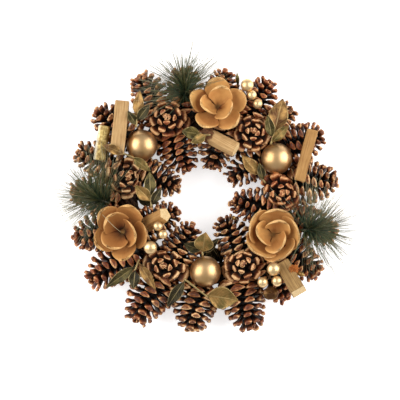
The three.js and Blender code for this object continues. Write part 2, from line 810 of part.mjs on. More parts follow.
function sprayStem() {
  const sides = STEM_SIDES;
  const points = [];
  const facets = [];
  for (let i = 0; i <= STEM_ROWS; i++) {
    const share = i / STEM_ROWS;
    const radius = STEM_RADIUS - STEM_TAPER * share;
    for (let j = 0; j < sides; j++) {
      const angle = ((j + (i % 2) / 2) / sides) * 2 * Math.PI;
      const [x, y] = [radius * Math.cos(angle), radius * Math.sin(angle)];
      points.push(new THREE.Vector3(x, y, STEM_LENGTH * share));
    }
  }
  for (let i = 0; i < STEM_ROWS; i++) {
    for (let j = 0; j < sides; j++) {
      const next = (j + 1) % sides;
      const [a, b] = [i * sides + j, i * sides + next];
      const [c, d] = [(i + 1) * sides + j, (i + 1) * sides + next];
      if (i % 2) facets.push([a, b, d], [a, d, c]);
      else facets.push([a, b, c], [b, d, c]);
    }
  }
  const foot = points.push(new THREE.Vector3(0, 0, -STEM_FOOT)) - 1;
  const crown = points.push(new THREE.Vector3(0, 0, STEM_LENGTH + 1)) - 1;
  const ends = [];
  for (let j = 0; j < sides; j++) {
    const next = (j + 1) % sides;
    ends.push([next, j, foot]);
    facets.push([STEM_ROWS * sides + j, STEM_ROWS * sides + next, crown]);
  }
  return { points, facets, ends };
}

// The needle that a facet is drawn out into. It leans forward along the stem, more so near the stem's tip,
// and the whole fan is flattened, so that the needles above and below its middle are shorter.
function needleTip(middle, random) {
  const share = THREE.MathUtils.clamp(middle.z / STEM_LENGTH, 0, 1);
  const lean = radians(FIRST_LEAN + LEAN_GAIN * share + 3 * (random() - 0.5));
  const around = Math.atan2(middle.y, middle.x) + 0.04 * (random() - 0.5);
  const length = NEEDLE_LENGTH * (0.84 + 0.16 * random()) - TIP_SHORTENING * share;
  const direction = new THREE.Vector3(
    FLATTENING * Math.cos(around) * Math.cos(lean),
    Math.sin(around) * Math.cos(lean),
    Math.sin(lean),
  );
  return direction.multiplyScalar(length).add(middle);
}

// Local +Z along the aim, with local +X as near to straight up as that allows.
function sprayFrame(aim) {
  const z = new THREE.Vector3(...aim).normalize();
  const x = UP.clone().addScaledVector(z, -UP.dot(z)).normalize();
  const basis = new THREE.Matrix4().makeBasis(x, z.clone().cross(x), z);
  return new THREE.Quaternion().setFromRotationMatrix(basis);
}

const NEEDLE_REACHES = [1, 0.85, 0.7, 0.55];
const PROBE_SHARE = 0.98; // of a facet, so that neighbouring needles may touch at the stem
const PROBE_START = 0.02; // of the needle's length
const PROBE_FACES = [
  [0, 1, 3],
  [1, 2, 3],
  [2, 0, 3],
  [0, 2, 1],
];

function sprayGeometry(spray, matrix, others) {
  const random = seeded(spray.seed);
  const { points, facets, ends } = sprayStem();
  const triangles = [...ends];
  const grown = [];
  for (const [a, b, c] of facets) {
    const corners = [a, b, c].map((index) => points[index]);
    const middle = corners.reduce((sum, p) => sum.clone().add(p), new THREE.Vector3()).divideScalar(3);
    const tip = needleTip(middle, random);
    const probeAt = (reach) => {
      const end = middle.clone().lerp(tip, reach);
      const start = middle.clone().lerp(tip, PROBE_START);
      const wide = corners.map((p) => p.clone().sub(middle).multiplyScalar(PROBE_SHARE).add(start));
      return withBox(solidOf(fromTriangles([...wide, end], PROBE_FACES), matrix));
    };
    const free = NEEDLE_REACHES.find((reach) => {
      const probe = probeAt(reach);
      return !meets(probe, others) && !meets(probe, grown);
    });
    if (free) {
      grown.push(probeAt(free));
      const end = points.push(middle.clone().lerp(tip, free)) - 1;
      triangles.push([a, b, end], [b, c, end], [c, a, end]);
    } else {
      triangles.push([a, b, c]);
    }
  }
  return fromTriangles(points, triangles);
}

const sprays = [
  { name: 'needles_top', at: [-21, 110], aim: [-0.2, 0.87, 0.42] },
  { name: 'needles_left', at: [-110, -6], aim: [-0.86, 0.33, 0.42] },
  { name: 'needles_right', at: [110.5, -37], aim: [0.9, 0.05, 0.42] },
].map((spray, i) => ({ ...spray, seed: 11 + i }));

// Putting the wreath together

addPiece('vine_ring', vineRing(), materials.vine);

const seated = [];
const cores = [];
for (const cone of [...outerCones, ...innerCones, ...faceCones]) {
  seated.push(seatCone(cone, cores));
  cores.push(seated.at(-1).core);
}

for (const [where, x, y] of balls) {
  const geometry = ballGeometry();
  const start = new THREE.Vector3(x, y, START_HEIGHT);
  const position = settle(geometry, start, UNTURNED, [...placed, ...cores]);
  addPiece(`ball_${where}`, geometry, materials.ball, position);
}

for (const cone of seated.filter(({ name }) => !name.startsWith('cone_face'))) growCone(cone, cores);

for (const stick of sticks) {
  const geometry = stickGeometry(stick);
  const quaternion = laid(stick.bearing, stick.pitch);
  const start = new THREE.Vector3(...stick.at, START_HEIGHT);
  const position = settle(geometry, start, quaternion, [...placed, ...cores]);
  const material = stick.name === 'left_bark' ? materials.barkStick : materials.wood;
  addPiece(`stick_${stick.name}`, geometry, material, position, quaternion);
}

for (const cone of seated.filter(({ name }) => name.startsWith('cone_face'))) growCone(cone, cores);

for (const sprig of sprigs) {
  const geometry = sprigGeometry(sprig);
  const start = new THREE.Vector3(...sprig.at, START_HEIGHT);
  const position = settle(geometry, start, UNTURNED, placed);
  addPiece(sprig.name, geometry, materials.leaf, position);
}

for (const flower of flowers) {
  const geometry = flowerGeometry(flower);
  const quaternion = aimed(flower.aim, flower.roll);
  const position = settle(geometry, new THREE.Vector3(...flower.at, START_HEIGHT), quaternion, placed);
  addPiece(flower.name, geometry, materials.shaving, position, quaternion);
}

for (const pick of berries) {
  const geometry = berryGeometry(pick);
  const start = new THREE.Vector3(...pick.at, START_HEIGHT);
  const position = settle(geometry, start, UNTURNED, placed);
  addPiece(pick.name, geometry, materials.berry, position);
}

for (const spray of sprays) {
  const quaternion = sprayFrame(spray.aim);
  const bare = sprayStem();
  const stem = fromTriangles(bare.points, [...bare.facets, ...bare.ends]);
  const position = settle(stem, new THREE.Vector3(...spray.at, START_HEIGHT), quaternion, placed);
  const geometry = sprayGeometry(spray, matrixAt(position, quaternion), placed);
  addPiece(spray.name, geometry, materials.needle, position, quaternion);
}

// The origin is below the middle of the whole wreath, on the surface that it lies on.
const extent = new THREE.Box3().setFromObject(wreath, true);
const centre = extent.getCenter(new THREE.Vector3());
wreath.position.set(-centre.x, -centre.y, -extent.min.z);

const part = new THREE.Group();
part.add(wreath);

export default part;
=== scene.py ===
# Looks of the pinecone wreath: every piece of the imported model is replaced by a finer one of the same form.
# Shapes are worked out in millimetres in the wreath's own frame and turned into metres when a mesh is made.

import math
import random

import bpy
import numpy as np
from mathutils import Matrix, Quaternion, Vector
from mathutils.bvhtree import BVHTree


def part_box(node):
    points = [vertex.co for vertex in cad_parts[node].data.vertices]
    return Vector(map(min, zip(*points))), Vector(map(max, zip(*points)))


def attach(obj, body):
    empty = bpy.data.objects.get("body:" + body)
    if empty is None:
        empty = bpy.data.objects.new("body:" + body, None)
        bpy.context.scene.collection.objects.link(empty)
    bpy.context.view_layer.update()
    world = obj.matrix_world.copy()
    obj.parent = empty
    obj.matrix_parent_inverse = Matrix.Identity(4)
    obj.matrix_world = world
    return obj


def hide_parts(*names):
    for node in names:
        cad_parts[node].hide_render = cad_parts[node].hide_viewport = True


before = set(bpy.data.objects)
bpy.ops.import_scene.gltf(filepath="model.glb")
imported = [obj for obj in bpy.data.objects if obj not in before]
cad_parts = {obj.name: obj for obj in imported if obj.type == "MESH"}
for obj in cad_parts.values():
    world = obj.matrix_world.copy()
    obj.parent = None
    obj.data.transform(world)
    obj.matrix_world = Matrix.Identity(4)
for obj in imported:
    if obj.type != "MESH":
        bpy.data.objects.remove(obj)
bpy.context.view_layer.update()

MM = 0.001
FULL_TURN = 2 * math.pi
GOLDEN_ANGLE = math.pi * (3 - math.sqrt(5))
UP = np.array([0.0, 0.0, 1.0])
OPPOSITE = np.array([-1.0, -1.0, 1.0])  # half a turn about local +Z


# The frame's nodes


def node_points(node):
    """The corners of a node, in millimetres."""
    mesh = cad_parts[node].data
    points = np.empty(len(mesh.vertices) * 3, np.float32)
    mesh.vertices.foreach_get("co", points)
    return points.reshape(-1, 3).astype(float) / MM


def node_box(node):
    low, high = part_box(node)
    return np.array(low) / MM, np.array(high) / MM


NEAR = 2.0  # how far outside a node's box its neighbours are looked for


def neighbours_tree(node, reach=NEAR):
    """The faces of the nodes near a node, without its own, to see what a scale, leaf or needle would hit."""
    low, high = node_box(node)
    points = []
    faces = []
    for name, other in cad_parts.items():
        other_low, other_high = node_box(name)
        apart = (other_low > high + reach).any() or (other_high < low - reach).any()
        if name == node or apart:
            continue
        start = len(points)
        points.extend(vertex.co / MM for vertex in other.data.vertices)
        faces.extend([start + i for i in polygon.vertices] for polygon in other.data.polygons)
    return BVHTree.FromPolygons(points, faces)


# The wreath stands off the frame's origin, as one of its balls shows.
BALL_RADIUS = 17.5
BALLS = {"upper_left": (-70.6, 57.9), "upper_right": (80.3, 43), "bottom": (0.3, -83.8)}
low, high = node_box("ball_upper_left")
WREATH_OFFSET = (low + high)[:2] / 2 - np.array(BALLS["upper_left"])


def on_wreath(x, y):
    return np.array([x + WREATH_OFFSET[0], y + WREATH_OFFSET[1]])


def standing(node, at, direction, foot):
    """The point over a place that lies a foot's length along a direction from the node's lowest corner."""
    x, y = on_wreath(*at)
    lowest = (node_points(node) @ direction).min()
    return np.array([x, y, (lowest + foot - x * direction[0] - y * direction[1]) / direction[2]])


# Turns


def unit(vector):
    vector = np.asarray(vector, float)
    return vector / np.linalg.norm(vector)


def compass(bearing):
    """The level direction at a bearing in degrees, from +X towards +Y."""
    return np.array([math.cos(math.radians(bearing)), math.sin(math.radians(bearing))])


def aimed(aim, roll=0.0):
    """Local +Z turned to an aim, after a roll about it in degrees."""
    turn = Vector((0, 0, 1)).rotation_difference(Vector(unit(aim)))
    turn = turn @ Quaternion((0, 0, 1), math.radians(roll))
    return np.array(turn.to_matrix())


def laid(bearing, pitch=0.0):
    """Local +X laid along a bearing, with its far end raised by a pitch, both in degrees."""
    turn = Quaternion((0, 0, 1), math.radians(bearing)) @ Quaternion((0, 1, 0), -math.radians(pitch))
    return np.array(turn.to_matrix())


def placed(points, turn, position):
    return points @ turn.T + position


# Grids of points

LOWEST = 0.4  # about how high points come to lie that would dip under the wreath's back
SOFT_PRESS = 0.3  # how softly they are pressed up


def resting(points):
    """Points pressed up softly where they would dip under the surface that the wreath lies on."""
    height = points[..., 2]
    points[..., 2] = (height + LOWEST + np.sqrt((height - LOWEST) ** 2 + SOFT_PRESS)) / 2
    return points


def smoothstep(low, high, x):
    t = np.clip((x - low) / (high - low), 0, 1)
    return t * t * (3 - 2 * t)


def circle(count):
    """Angles evenly round a circle."""
    return np.arange(count) / count * FULL_TURN


def spun(radii, heights, sides, ribs=1.0):
    """Rings about local +Z, the lowest first."""
    angle = circle(sides)
    radii = np.asarray(radii)[:, None] * ribs
    heights = np.asarray(heights)[:, None] * np.ones(sides)
    return np.stack([radii * np.cos(angle), radii * np.sin(angle), heights], axis=-1)


def sections(path, radius, first, second, sides):
    """Round sections along a path, in the plane of two directions, given once or for each of its points."""
    angle = circle(sides)[:, None]
    spokes = np.cos(angle) * first[..., None, :] + np.sin(angle) * second[..., None, :]
    return path[:, None] + radius[:, None, None] * spokes


def in_scene(name, data):
    thing = bpy.data.objects.new(name, data)
    bpy.context.scene.collection.objects.link(thing)
    return thing


class Batch:
    """Gathers grids of points, with values that the materials read, into one mesh."""

    def __init__(self):
        self.points = []
        self.faces = []
        self.values = {}
        self.count = 0

    def grid(self, points, ends=True, **values):
        """Adds rows of points, each row a closed ring. With ends, a pole in its middle closes each end."""
        rows, columns = points.shape[:2]
        here = np.arange(rows * columns).reshape(rows, columns)
        after = np.roll(here, -1, axis=1)
        faces = np.stack([here[:-1], after[:-1], after[1:], here[1:]], axis=-1).reshape(-1, 4).tolist()
        flat = points.reshape(-1, 3)
        spread = {name: np.broadcast_to(value, (rows, columns)).reshape(-1) for name, value in values.items()}
        if ends:
            pole = np.full(columns, rows * columns)
            faces += np.stack([pole, after[0], here[0]], axis=-1).tolist()
            faces += np.stack([pole + 1, here[-1], after[-1]], axis=-1).tolist()
            flat = np.vstack([flat, points[0].mean(axis=0), points[-1].mean(axis=0)])
            for name, value in spread.items():
                spread[name] = np.concatenate([value, [value[:columns].mean(), value[-columns:].mean()]])
        for name in dict.fromkeys([*self.values, *spread]):
            parts = self.values.setdefault(name, [np.zeros(self.count)])
            parts.append(np.broadcast_to(spread.get(name, 0.0), len(flat)))
        self.faces += [[index + self.count for index in face] for face in faces]
        self.points.append(flat)
        self.count += len(flat)

    def finish(self, name, material, slot, *nodes):
        """Makes one piece of the wreath, in place of the nodes that are named."""
        mesh = bpy.data.meshes.new(name)
        mesh.from_pydata((np.vstack(self.points) * MM).tolist(), [], self.faces)
        for attribute, parts in self.values.items():
            layer = mesh.attributes.new(attribute, "FLOAT", "POINT")
            layer.data.foreach_set("value", np.concatenate(parts).astype(np.float32))
        mesh.update()
        mesh.shade_smooth()
        mesh.materials.append(material)
        piece = in_scene(name, mesh)
        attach(piece, "root")
        if nodes:
            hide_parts(*nodes)


def carried_sides(path):
    """Two directions square to a path at each of its points, carried along it without twist."""
    tangents = np.gradient(path, axis=0)
    tangents /= np.linalg.norm(tangents, axis=1)[:, None]
    side = np.cross(tangents[0], UP)
    sides = []
    for tangent in tangents:
        side = unit(side - tangent * side.dot(tangent))
        sides.append(side)
    return np.array(sides), np.cross(tangents, sides)


def tube(batch, path, radius, sides=8, **values):
    radius = np.broadcast_to(np.asarray(radius, float), len(path))
    batch.grid(sections(path, radius, *carried_sides(path), sides), **values)


def ball(batch, centre, radius, rings, sides):
    polar = (np.arange(rings) + 0.5) / rings * math.pi
    batch.grid(centre + radius * spun(np.sin(polar), -np.cos(polar), sides))


# Materials

# Places of the colour sockets in a mix node, which has others of the same names.
MIX_FIRST = 6
MIX_SECOND = 7
MIX_RESULT = 2
NOISE_SPAN = (0.3, 0.7)  # between which most values of a noise lie


def linear(red, green, blue):
    """A colour given in the 0 to 255 steps of a screen."""
    steps = np.array([red, green, blue]) / 255
    value = np.where(steps <= 0.04045, steps / 12.92, ((steps + 0.055) / 1.055) ** 2.4)
    return (*value.tolist(), 1.0)


class Finish:
    """A node material with short calls for the nodes that it is made of."""

    def __init__(self, name):
        self.material = bpy.data.materials.new(name)
        self.material.use_nodes = True
        self.tree = self.material.node_tree
        self.shader = self.tree.nodes["Principled BSDF"]
        self.place = self.node("ShaderNodeTexCoord").outputs["Object"]

    def node(self, kind, **settings):
        node = self.tree.nodes.new(kind)
        for name, value in settings.items():
            setattr(node, name, value)
        return node

    def feed(self, socket, value):
        if isinstance(value, bpy.types.NodeSocket):
            self.tree.links.new(value, socket)
        else:
            socket.default_value = value

    def value(self, name):
        return self.node("ShaderNodeAttribute", attribute_name=name).outputs["Fac"]

    def joined(self, x, y, z):
        node = self.node("ShaderNodeCombineXYZ")
        for socket, value in zip(node.inputs, (x, y, z)):
            self.feed(socket, value)
        return node.outputs["Vector"]

    def noise(self, scale, detail=4.0, roughness=0.55, place=None):
        node = self.node("ShaderNodeTexNoise")
        self.feed(node.inputs["Vector"], self.place if place is None else place)
        for name, number in (("Scale", scale), ("Detail", detail), ("Roughness", roughness)):
            node.inputs[name].default_value = number
        return node.outputs["Fac"]

    def math(self, operation, *numbers):
        node = self.node("ShaderNodeMath", operation=operation)
        for socket, number in zip(node.inputs, numbers):
            self.feed(socket, number)
        return node.outputs[0]

    def range(self, value, low, high, to_low=0.0, to_high=1.0):
        node = self.node("ShaderNodeMapRange")
        self.feed(node.inputs["Value"], value)
        for name, number in (("From Min", low), ("From Max", high), ("To Min", to_low), ("To Max", to_high)):
            node.inputs[name].default_value = number
        return node.outputs["Result"]

    def spread(self, noise, low, high):
        """A noise's usual values spread from low to high."""
        return self.range(noise, *NOISE_SPAN, low, high)

    def varied(self, value, noise, amount):
        """A value moved up and down with a noise."""
        return self.math("ADD", self.spread(noise, -amount, amount), value)

    def ramp(self, factor, *stops):
        """Colours along a factor. Each stop is its place, then its red, green and blue."""
        node = self.node("ShaderNodeValToRGB")
        elements = node.color_ramp.elements
        while len(elements) < len(stops):
            elements.new(0.5)
        for element, (position, *colour) in zip(elements, stops):
            element.position = position
            element.color = linear(*colour)
        self.feed(node.inputs["Fac"], factor)
        return node.outputs["Color"]

    def mottled(self, noise, dark, light):
        return self.ramp(noise, (NOISE_SPAN[0], *dark), (NOISE_SPAN[1], *light))

    def mix(self, factor, first, second):
        node = self.node("ShaderNodeMix", data_type="RGBA")
        self.feed(node.inputs["Factor"], factor)
        self.feed(node.inputs[MIX_FIRST], first)
        self.feed(node.inputs[MIX_SECOND], second)
        return node.outputs[MIX_RESULT]

    def bump(self, height, strength, distance):
        node = self.node("ShaderNodeBump")
        node.inputs["Strength"].default_value = strength
        node.inputs["Distance"].default_value = distance
        self.feed(node.inputs["Height"], height)
        self.feed(self.shader.inputs["Normal"], node.outputs["Normal"])

    def set(self, **inputs):
        for name, value in inputs.items():
            self.feed(self.shader.inputs[name.replace("_", " ")], value)


def cone_finish():
    """Dry scales: almost black inside as painted shade deep between the scales, brown outward, with thick tan
    lips.
    """
    f = Finish("cone_scale")
    grain = f.noise(900, 5)
    patches = f.noise(180, 3)
    wear_and_painted_shade = f.varied(f.varied(f.value("lip"), patches, 0.14), grain, 0.08)
    # The near-black low end of both ramps is painted shade deep between the scales.
    tan = f.ramp(
        wear_and_painted_shade, (0, 14, 8, 4), (0.3, 40, 20, 9), (0.55, 84, 44, 21), (0.8, 146, 96, 54), (1, 228, 188, 136)
    )
    russet = f.ramp(
        wear_and_painted_shade, (0, 15, 7, 4), (0.3, 50, 20, 9), (0.55, 104, 47, 21), (0.8, 154, 86, 46), (1, 214, 156, 104)
    )
    f.set(Base_Color=f.mix(f.value("tone"), tan, russet), Roughness=f.spread(grain, 0.36, 0.56))
    f.set(Specular_IOR_Level=0.32)
    f.bump(f.math("MULTIPLY_ADD", patches, 0.8, grain), 0.6, 0.0006)
    return f.material


def ball_finish():
    """Satin gold."""
    f = Finish("satin_gold")
    fine = f.noise(1400, 2)
    f.set(Base_Color=f.mottled(f.noise(60, 3), (204, 164, 110), (220, 184, 136)))
    f.set(Metallic=1.0, Roughness=f.spread(fine, 0.36, 0.44))
    f.bump(fine, 0.08, 0.0003)
    return f.material


def berry_finish():
    """Pearly gold, with dark wires where the value wire is 1."""
    f = Finish("pearl_gold")
    fine = f.noise(1800, 2)
    wire = f.value("wire")
    pearl = f.mottled(f.noise(200, 2), (216, 180, 124), (234, 204, 156))
    dark = f.mottled(f.noise(500, 3), (58, 38, 20), (98, 70, 40))
    f.set(Base_Color=f.mix(wire, pearl, dark), Metallic=f.range(wire, 0, 1, 0.85, 0.1))
    f.set(Roughness=f.spread(fine, 0.34, 0.44))
    f.bump(fine, 0.1, 0.0003)
    return f.material


def shaving_finish():
    """Wood shaving: pale at the rim, browner towards the heart and in the hollows as painted shade, with
    fibres along it.
    """
    f = Finish("wood_shaving")
    along = f.value("along")
    across = f.math("MULTIPLY", f.value("side"), 14.0)
    grain = f.noise(2.0, 5.0, 0.5, f.joined(across, f.math("MULTIPLY", along, 1.6), f.value("tone")))
    shade = f.varied(along, grain, 0.08)
    # Towards the heart the ramp runs down to almost black, as painted shade in the flower's middle.
    pale = f.ramp(
        shade,
        (0, 38, 18, 8),
        (0.08, 92, 48, 20),
        (0.16, 146, 92, 46),
        (0.45, 184, 128, 70),
        (0.93, 196, 142, 82),
        (1, 224, 182, 124),
    )
    # A darker ramp mixed in where a flower or a petal's hollow lies in shade, as painted shade.
    painted_shading = f.ramp(
        shade, (0, 22, 9, 4), (0.2, 88, 44, 18), (0.45, 136, 82, 38), (0.93, 164, 108, 54), (1, 206, 158, 98)
    )
    colour = f.mix(f.range(f.noise(55, 2), 0.42, 0.68, 0.0, 0.5), pale, linear(230, 180, 106))
    f.set(Base_Color=f.mix(f.value("depth"), colour, painted_shading), Roughness=0.82, Specular_IOR_Level=0.2)
    f.bump(f.math("MULTIPLY_ADD", f.noise(900, 4, 0.6), 0.4, grain), 0.35, 0.0006)
    return f.material


def leaf_finish():
    """Gilded leaf: olive, green gold, gold or bronze by the leaf's tone, with paler veins and rim."""
    f = Finish("gilded_leaf")
    off_rib = f.math("ABSOLUTE", f.value("side"))
    slanted = f.math("MULTIPLY_ADD", off_rib, -0.35, f.value("along"))
    vein = f.range(f.math("SINE", f.math("MULTIPLY", slanted, 58.0)), 0.82, 1.0)
    veins = f.math("MAXIMUM", f.math("MULTIPLY", vein, 0.4), f.range(off_rib, 0.1, 0.02))
    fine = f.noise(900, 4)
    shade = f.varied(f.value("tone"), f.noise(120, 4), 0.18)
    colour = f.ramp(
        shade, (0, 22, 19, 10), (0.25, 50, 45, 22), (0.5, 96, 84, 42), (0.75, 154, 118, 66), (1, 88, 56, 30)
    )
    pale = f.math("MAXIMUM", f.math("MULTIPLY", veins, 0.35), f.range(off_rib, 0.88, 1.0, 0.0, 0.6))
    f.set(Base_Color=f.mix(pale, colour, linear(200, 174, 118)), Metallic=0.75)
    f.set(Roughness=f.spread(fine, 0.26, 0.42))
    f.bump(f.math("MULTIPLY_ADD", veins, 1.2, f.math("MULTIPLY", fine, 0.5)), 0.5, 0.0006)
    return f.material


def needle_finish():
    """Needles from blue green to olive, darkest at the stem and straw coloured at their tips."""
    f = Finish("pine_needle")
    along = f.value("along")
    green = f.ramp(
        along, (0, 22, 38, 26), (0.25, 40, 70, 48), (0.5, 74, 92, 56), (0.75, 96, 100, 66), (1, 150, 148, 122)
    )
    olive = f.ramp(along, (0, 34, 38, 20), (0.3, 80, 78, 40), (0.6, 108, 94, 52), (1, 160, 148, 112))
    f.set(Base_Color=f.mix(f.range(f.value("tone"), 0.2, 0.8), green, olive))
    f.set(Roughness=f.spread(f.noise(300, 2), 0.3, 0.45), Specular_IOR_Level=0.6)
    return f.material


def wood_finish(name, *stops):
    """Split wood with its grain along the stick, pale cut ends, and mottled dark brown painted shadow where a
    flower shades an end.
    """
    f = Finish(name)
    length = f.math("MULTIPLY", f.value("along"), 0.035)
    girth = f.math("MULTIPLY", f.value("side"), 0.9)
    streaks = f.noise(1.0, 7.0, 0.62, f.joined(length, girth, f.value("tone")))
    colour = f.ramp(f.varied(f.range(streaks, 0.2, 0.8), f.noise(90, 3), 0.1), *stops)
    colour = f.mix(f.value("end"), colour, f.mottled(f.noise(700, 4), (196, 162, 108), (226, 198, 150)))
    # Painted shadow: mottled dark brown where a flower's shadow falls on the end of a stick.
    colour = f.mix(f.value("bark"), colour, f.mottled(f.noise(420, 5, 0.6), (58, 34, 18), (124, 78, 44)))
    f.set(Base_Color=colour, Roughness=0.7, Specular_IOR_Level=0.3)
    f.bump(f.math("MULTIPLY_ADD", streaks, 1.4, f.noise(1500, 3)), 0.5, 0.0007)
    return f.material


def gilded_bark_finish():
    """Rough bark under gold paint, silvery along one side, with plain cut ends."""
    f = Finish("gilded_bark")
    rough = f.noise(260, 5, 0.65)
    cloud = f.noise(70, 3)
    end = f.value("end")
    shade = f.varied(f.spread(rough, 0.0, 1.0), cloud, 0.2)
    colour = f.ramp(shade, (0, 84, 64, 28), (0.35, 140, 114, 58), (0.65, 172, 148, 86), (1, 208, 192, 140))
    silver = f.mottled(cloud, (196, 190, 170), (232, 226, 206))
    colour = f.mix(f.range(f.value("side"), 14.0, 9.0, 0.0, 0.85), colour, silver)
    f.set(Base_Color=f.mix(end, colour, linear(222, 196, 144)), Metallic=f.range(end, 0, 1, 0.5, 0.0))
    f.set(Roughness=0.45)
    f.bump(rough, 0.5, 0.0008)
    return f.material


def vine_finish():
    """Dark bark."""
    f = Finish("vine_bark")
    bark = f.noise(500, 5, 0.6)
    shade = f.varied(f.spread(bark, 0.0, 1.0), f.noise(50, 3), 0.2)
    colour = f.ramp(shade, (0, 22, 14, 9), (0.5, 52, 33, 21), (1, 92, 62, 40))
    f.set(Base_Color=colour, Roughness=0.85, Specular_IOR_Level=0.3)
    f.bump(bark, 0.7, 0.001)
    return f.material


CONE = cone_finish()
GOLD = ball_finish()
PEARL = berry_finish()
SHAVING = shaving_finish()
LEAF = leaf_finish()
NEEDLE = needle_finish()
VINE = vine_finish()
PALE_WOOD = wood_finish(
    "pale_wood", (0, 116, 82, 46), (0.4, 172, 134, 86), (0.7, 194, 158, 108), (1, 218, 188, 142)
)
HONEY_WOOD = wood_finish(
    "honey_wood", (0, 106, 68, 30), (0.4, 158, 114, 62), (0.7, 178, 134, 78), (1, 206, 164, 108)
)
OLIVE_WOOD = wood_finish(
    "olive_wood", (0, 84, 60, 32), (0.4, 136, 104, 60), (0.7, 166, 132, 82), (1, 198, 166, 114)
)
ORANGE_FIBRE = wood_finish(
    "orange_fibre", (0, 92, 44, 14), (0.3, 152, 82, 30), (0.6, 188, 114, 50), (1, 224, 162, 98)
)
GILDED_BARK = gilded_bark_finish()


# The vine ring: strands twisted round a circle and round a core, pressed flat where they lie on the surface.

RING_RADIUS = 88.0
RING_HEIGHT = 8.2
RING_STEPS = 240
BUNDLE_RADIUS = 12.3
INNER_VINE_RADIUS = 8.0
INNER_VINE_HEIGHT = 0.4  # its lowest points lie no lower, so the strands hide it
VINE_STRANDS = 9
VINE_WRAPS = 7
VINE_SIDES = 10


def vine_ring():
    draw = random.Random(5)
    bearing = np.linspace(0, FULL_TURN, RING_STEPS + 1)
    outward = np.stack([np.cos(bearing), np.sin(bearing), 0 * bearing], axis=-1)
    batch = Batch()

    def vine(out, height, thickness, sides, lowest):
        points = sections(outward * out[:, None] + UP * height[:, None], thickness, outward, -UP, sides)
        points[-1] = points[0]
        points[..., 2] = np.maximum(points[..., 2], lowest)
        points[..., :2] += WREATH_OFFSET
        batch.grid(points, ends=False)

    for strand in range(VINE_STRANDS):
        radius = 2.7 + 0.8 * draw.random()
        wander = 0.5 * np.sin(9 * bearing + 5 * draw.random()) + 0.3 * np.sin(23 * bearing)
        centre = BUNDLE_RADIUS - radius + wander
        angle = strand / VINE_STRANDS * FULL_TURN + VINE_WRAPS * bearing
        out = RING_RADIUS + centre * np.cos(angle)
        height = RING_HEIGHT + centre * np.sin(angle)
        thickness = radius * (1 + 0.08 * np.sin(31 * bearing + strand) + 0.05 * np.sin(57 * bearing))
        vine(out, height, thickness, VINE_SIDES, 0.0)
    level = np.ones(len(bearing))
    vine(RING_RADIUS * level, RING_HEIGHT * level, INNER_VINE_RADIUS * level, 16, INNER_VINE_HEIGHT)
    batch.finish("twisted_vines", VINE, "vine", "vine_ring")


# Open pine cones. The lattice is the frame's own, so each fine scale grows where the plain one does,
# and reads its reach from the frame.

LOWER_SPIRAL = 3
UPPER_SPIRAL = 5
CORE_RADIUS = 0.25
SCALE_HALF_WIDTH = 0.36
SCALE_THICKNESS = 0.19
TAPER = 0.55
SMALLEST = 0.4
CORE_FOOT = 0.08
CORE_SPAN = 0.74
LOWEST_LIP = 0.07
LIP_SPAN = 0.9
WIDEST = 0.25
BASE_NARROWING = 3.2
BLUNT_TIP = 1.12
CLOSED_TIP = 1.33


def cone_corner(cone, index):
    share = index / (cone["scales"] + LOWER_SPIRAL + UPPER_SPIRAL - 1)
    angle = index * GOLDEN_ANGLE
    radius = cone["radius"] * CORE_RADIUS * (1 - TAPER * share * share)
    height = cone["length"] * (CORE_FOOT + CORE_SPAN * share)
    return np.array([radius * math.cos(angle), radius * math.sin(angle), height])


def spread_at(share, tip_angle):
    if share < WIDEST:
        return 1 - BASE_NARROWING * (WIDEST - share) ** 2
    return math.cos((share - WIDEST) / (1 - WIDEST) * tip_angle)


def scale_axes(cone, k):
    """Scale k's share of the way up, its root, its length at full reach, and its ways out, across and up."""
    share = k / (cone["scales"] - 1)
    foot = (k, k + LOWER_SPIRAL, k + LOWER_SPIRAL + UPPER_SPIRAL, k + UPPER_SPIRAL)
    root = np.mean([cone_corner(cone, index) for index in foot], axis=0)
    angle = math.atan2(root[1], root[0])
    across = np.array([-math.sin(angle), math.cos(angle), 0.0])
    spread = cone["radius"] * spread_at(share, cone["tip_angle"])
    height = cone["length"] * (LOWEST_LIP + LIP_SPAN * share)
    tip = np.array([spread * math.cos(angle), spread * math.sin(angle), height])
    length = np.linalg.norm(tip - root)
    outward = (tip - root) / length
    return share, root, length, np.array([outward, across, np.cross(outward, across)])


def scale_size(cone, share, reach):
    return cone["radius"] * (1 - TAPER * share) * (SMALLEST + (1 - SMALLEST) * reach)


def lip_middle(cone, k, reach):
    share, root, length, directions = scale_axes(cone, k)
    size = scale_size(cone, share, reach)
    return root + np.array([length * reach + 0.02 * size, 0, 0.55 * SCALE_THICKNESS * size]) @ directions


def find_cone(cone):
    """Where the frame's cone stands, and how far each of its scales reaches."""
    points = node_points(cone["node"])
    aim = unit(cone["aim"])
    start = np.array([*on_wreath(*cone["at"]), cone["height"]])
    along = (points - start) @ aim
    off = np.linalg.norm(points - start - along[:, None] * aim, axis=1)
    on_axis = np.where(off < 0.01)[0]
    stalk = points[on_axis[np.argmin(along[on_axis])]]
    turn = aimed(aim, cone["roll"])
    local = (points - stalk) @ turn
    reaches = []
    for k in range(cone["scales"]):
        first = lip_middle(cone, k, 0.0)
        step = lip_middle(cone, k, 1.0) - first
        t = (local - first) @ step / step.dot(step)
        miss = np.linalg.norm(first + t[:, None] * step - local, axis=1)
        fits = np.where((miss < 0.02) & (t > 0.15) & (t < 1.01))[0]
        reaches.append(float(t[fits[np.argmin(miss[fits])]]) if len(fits) else 0.0)
    return stalk, turn, reaches
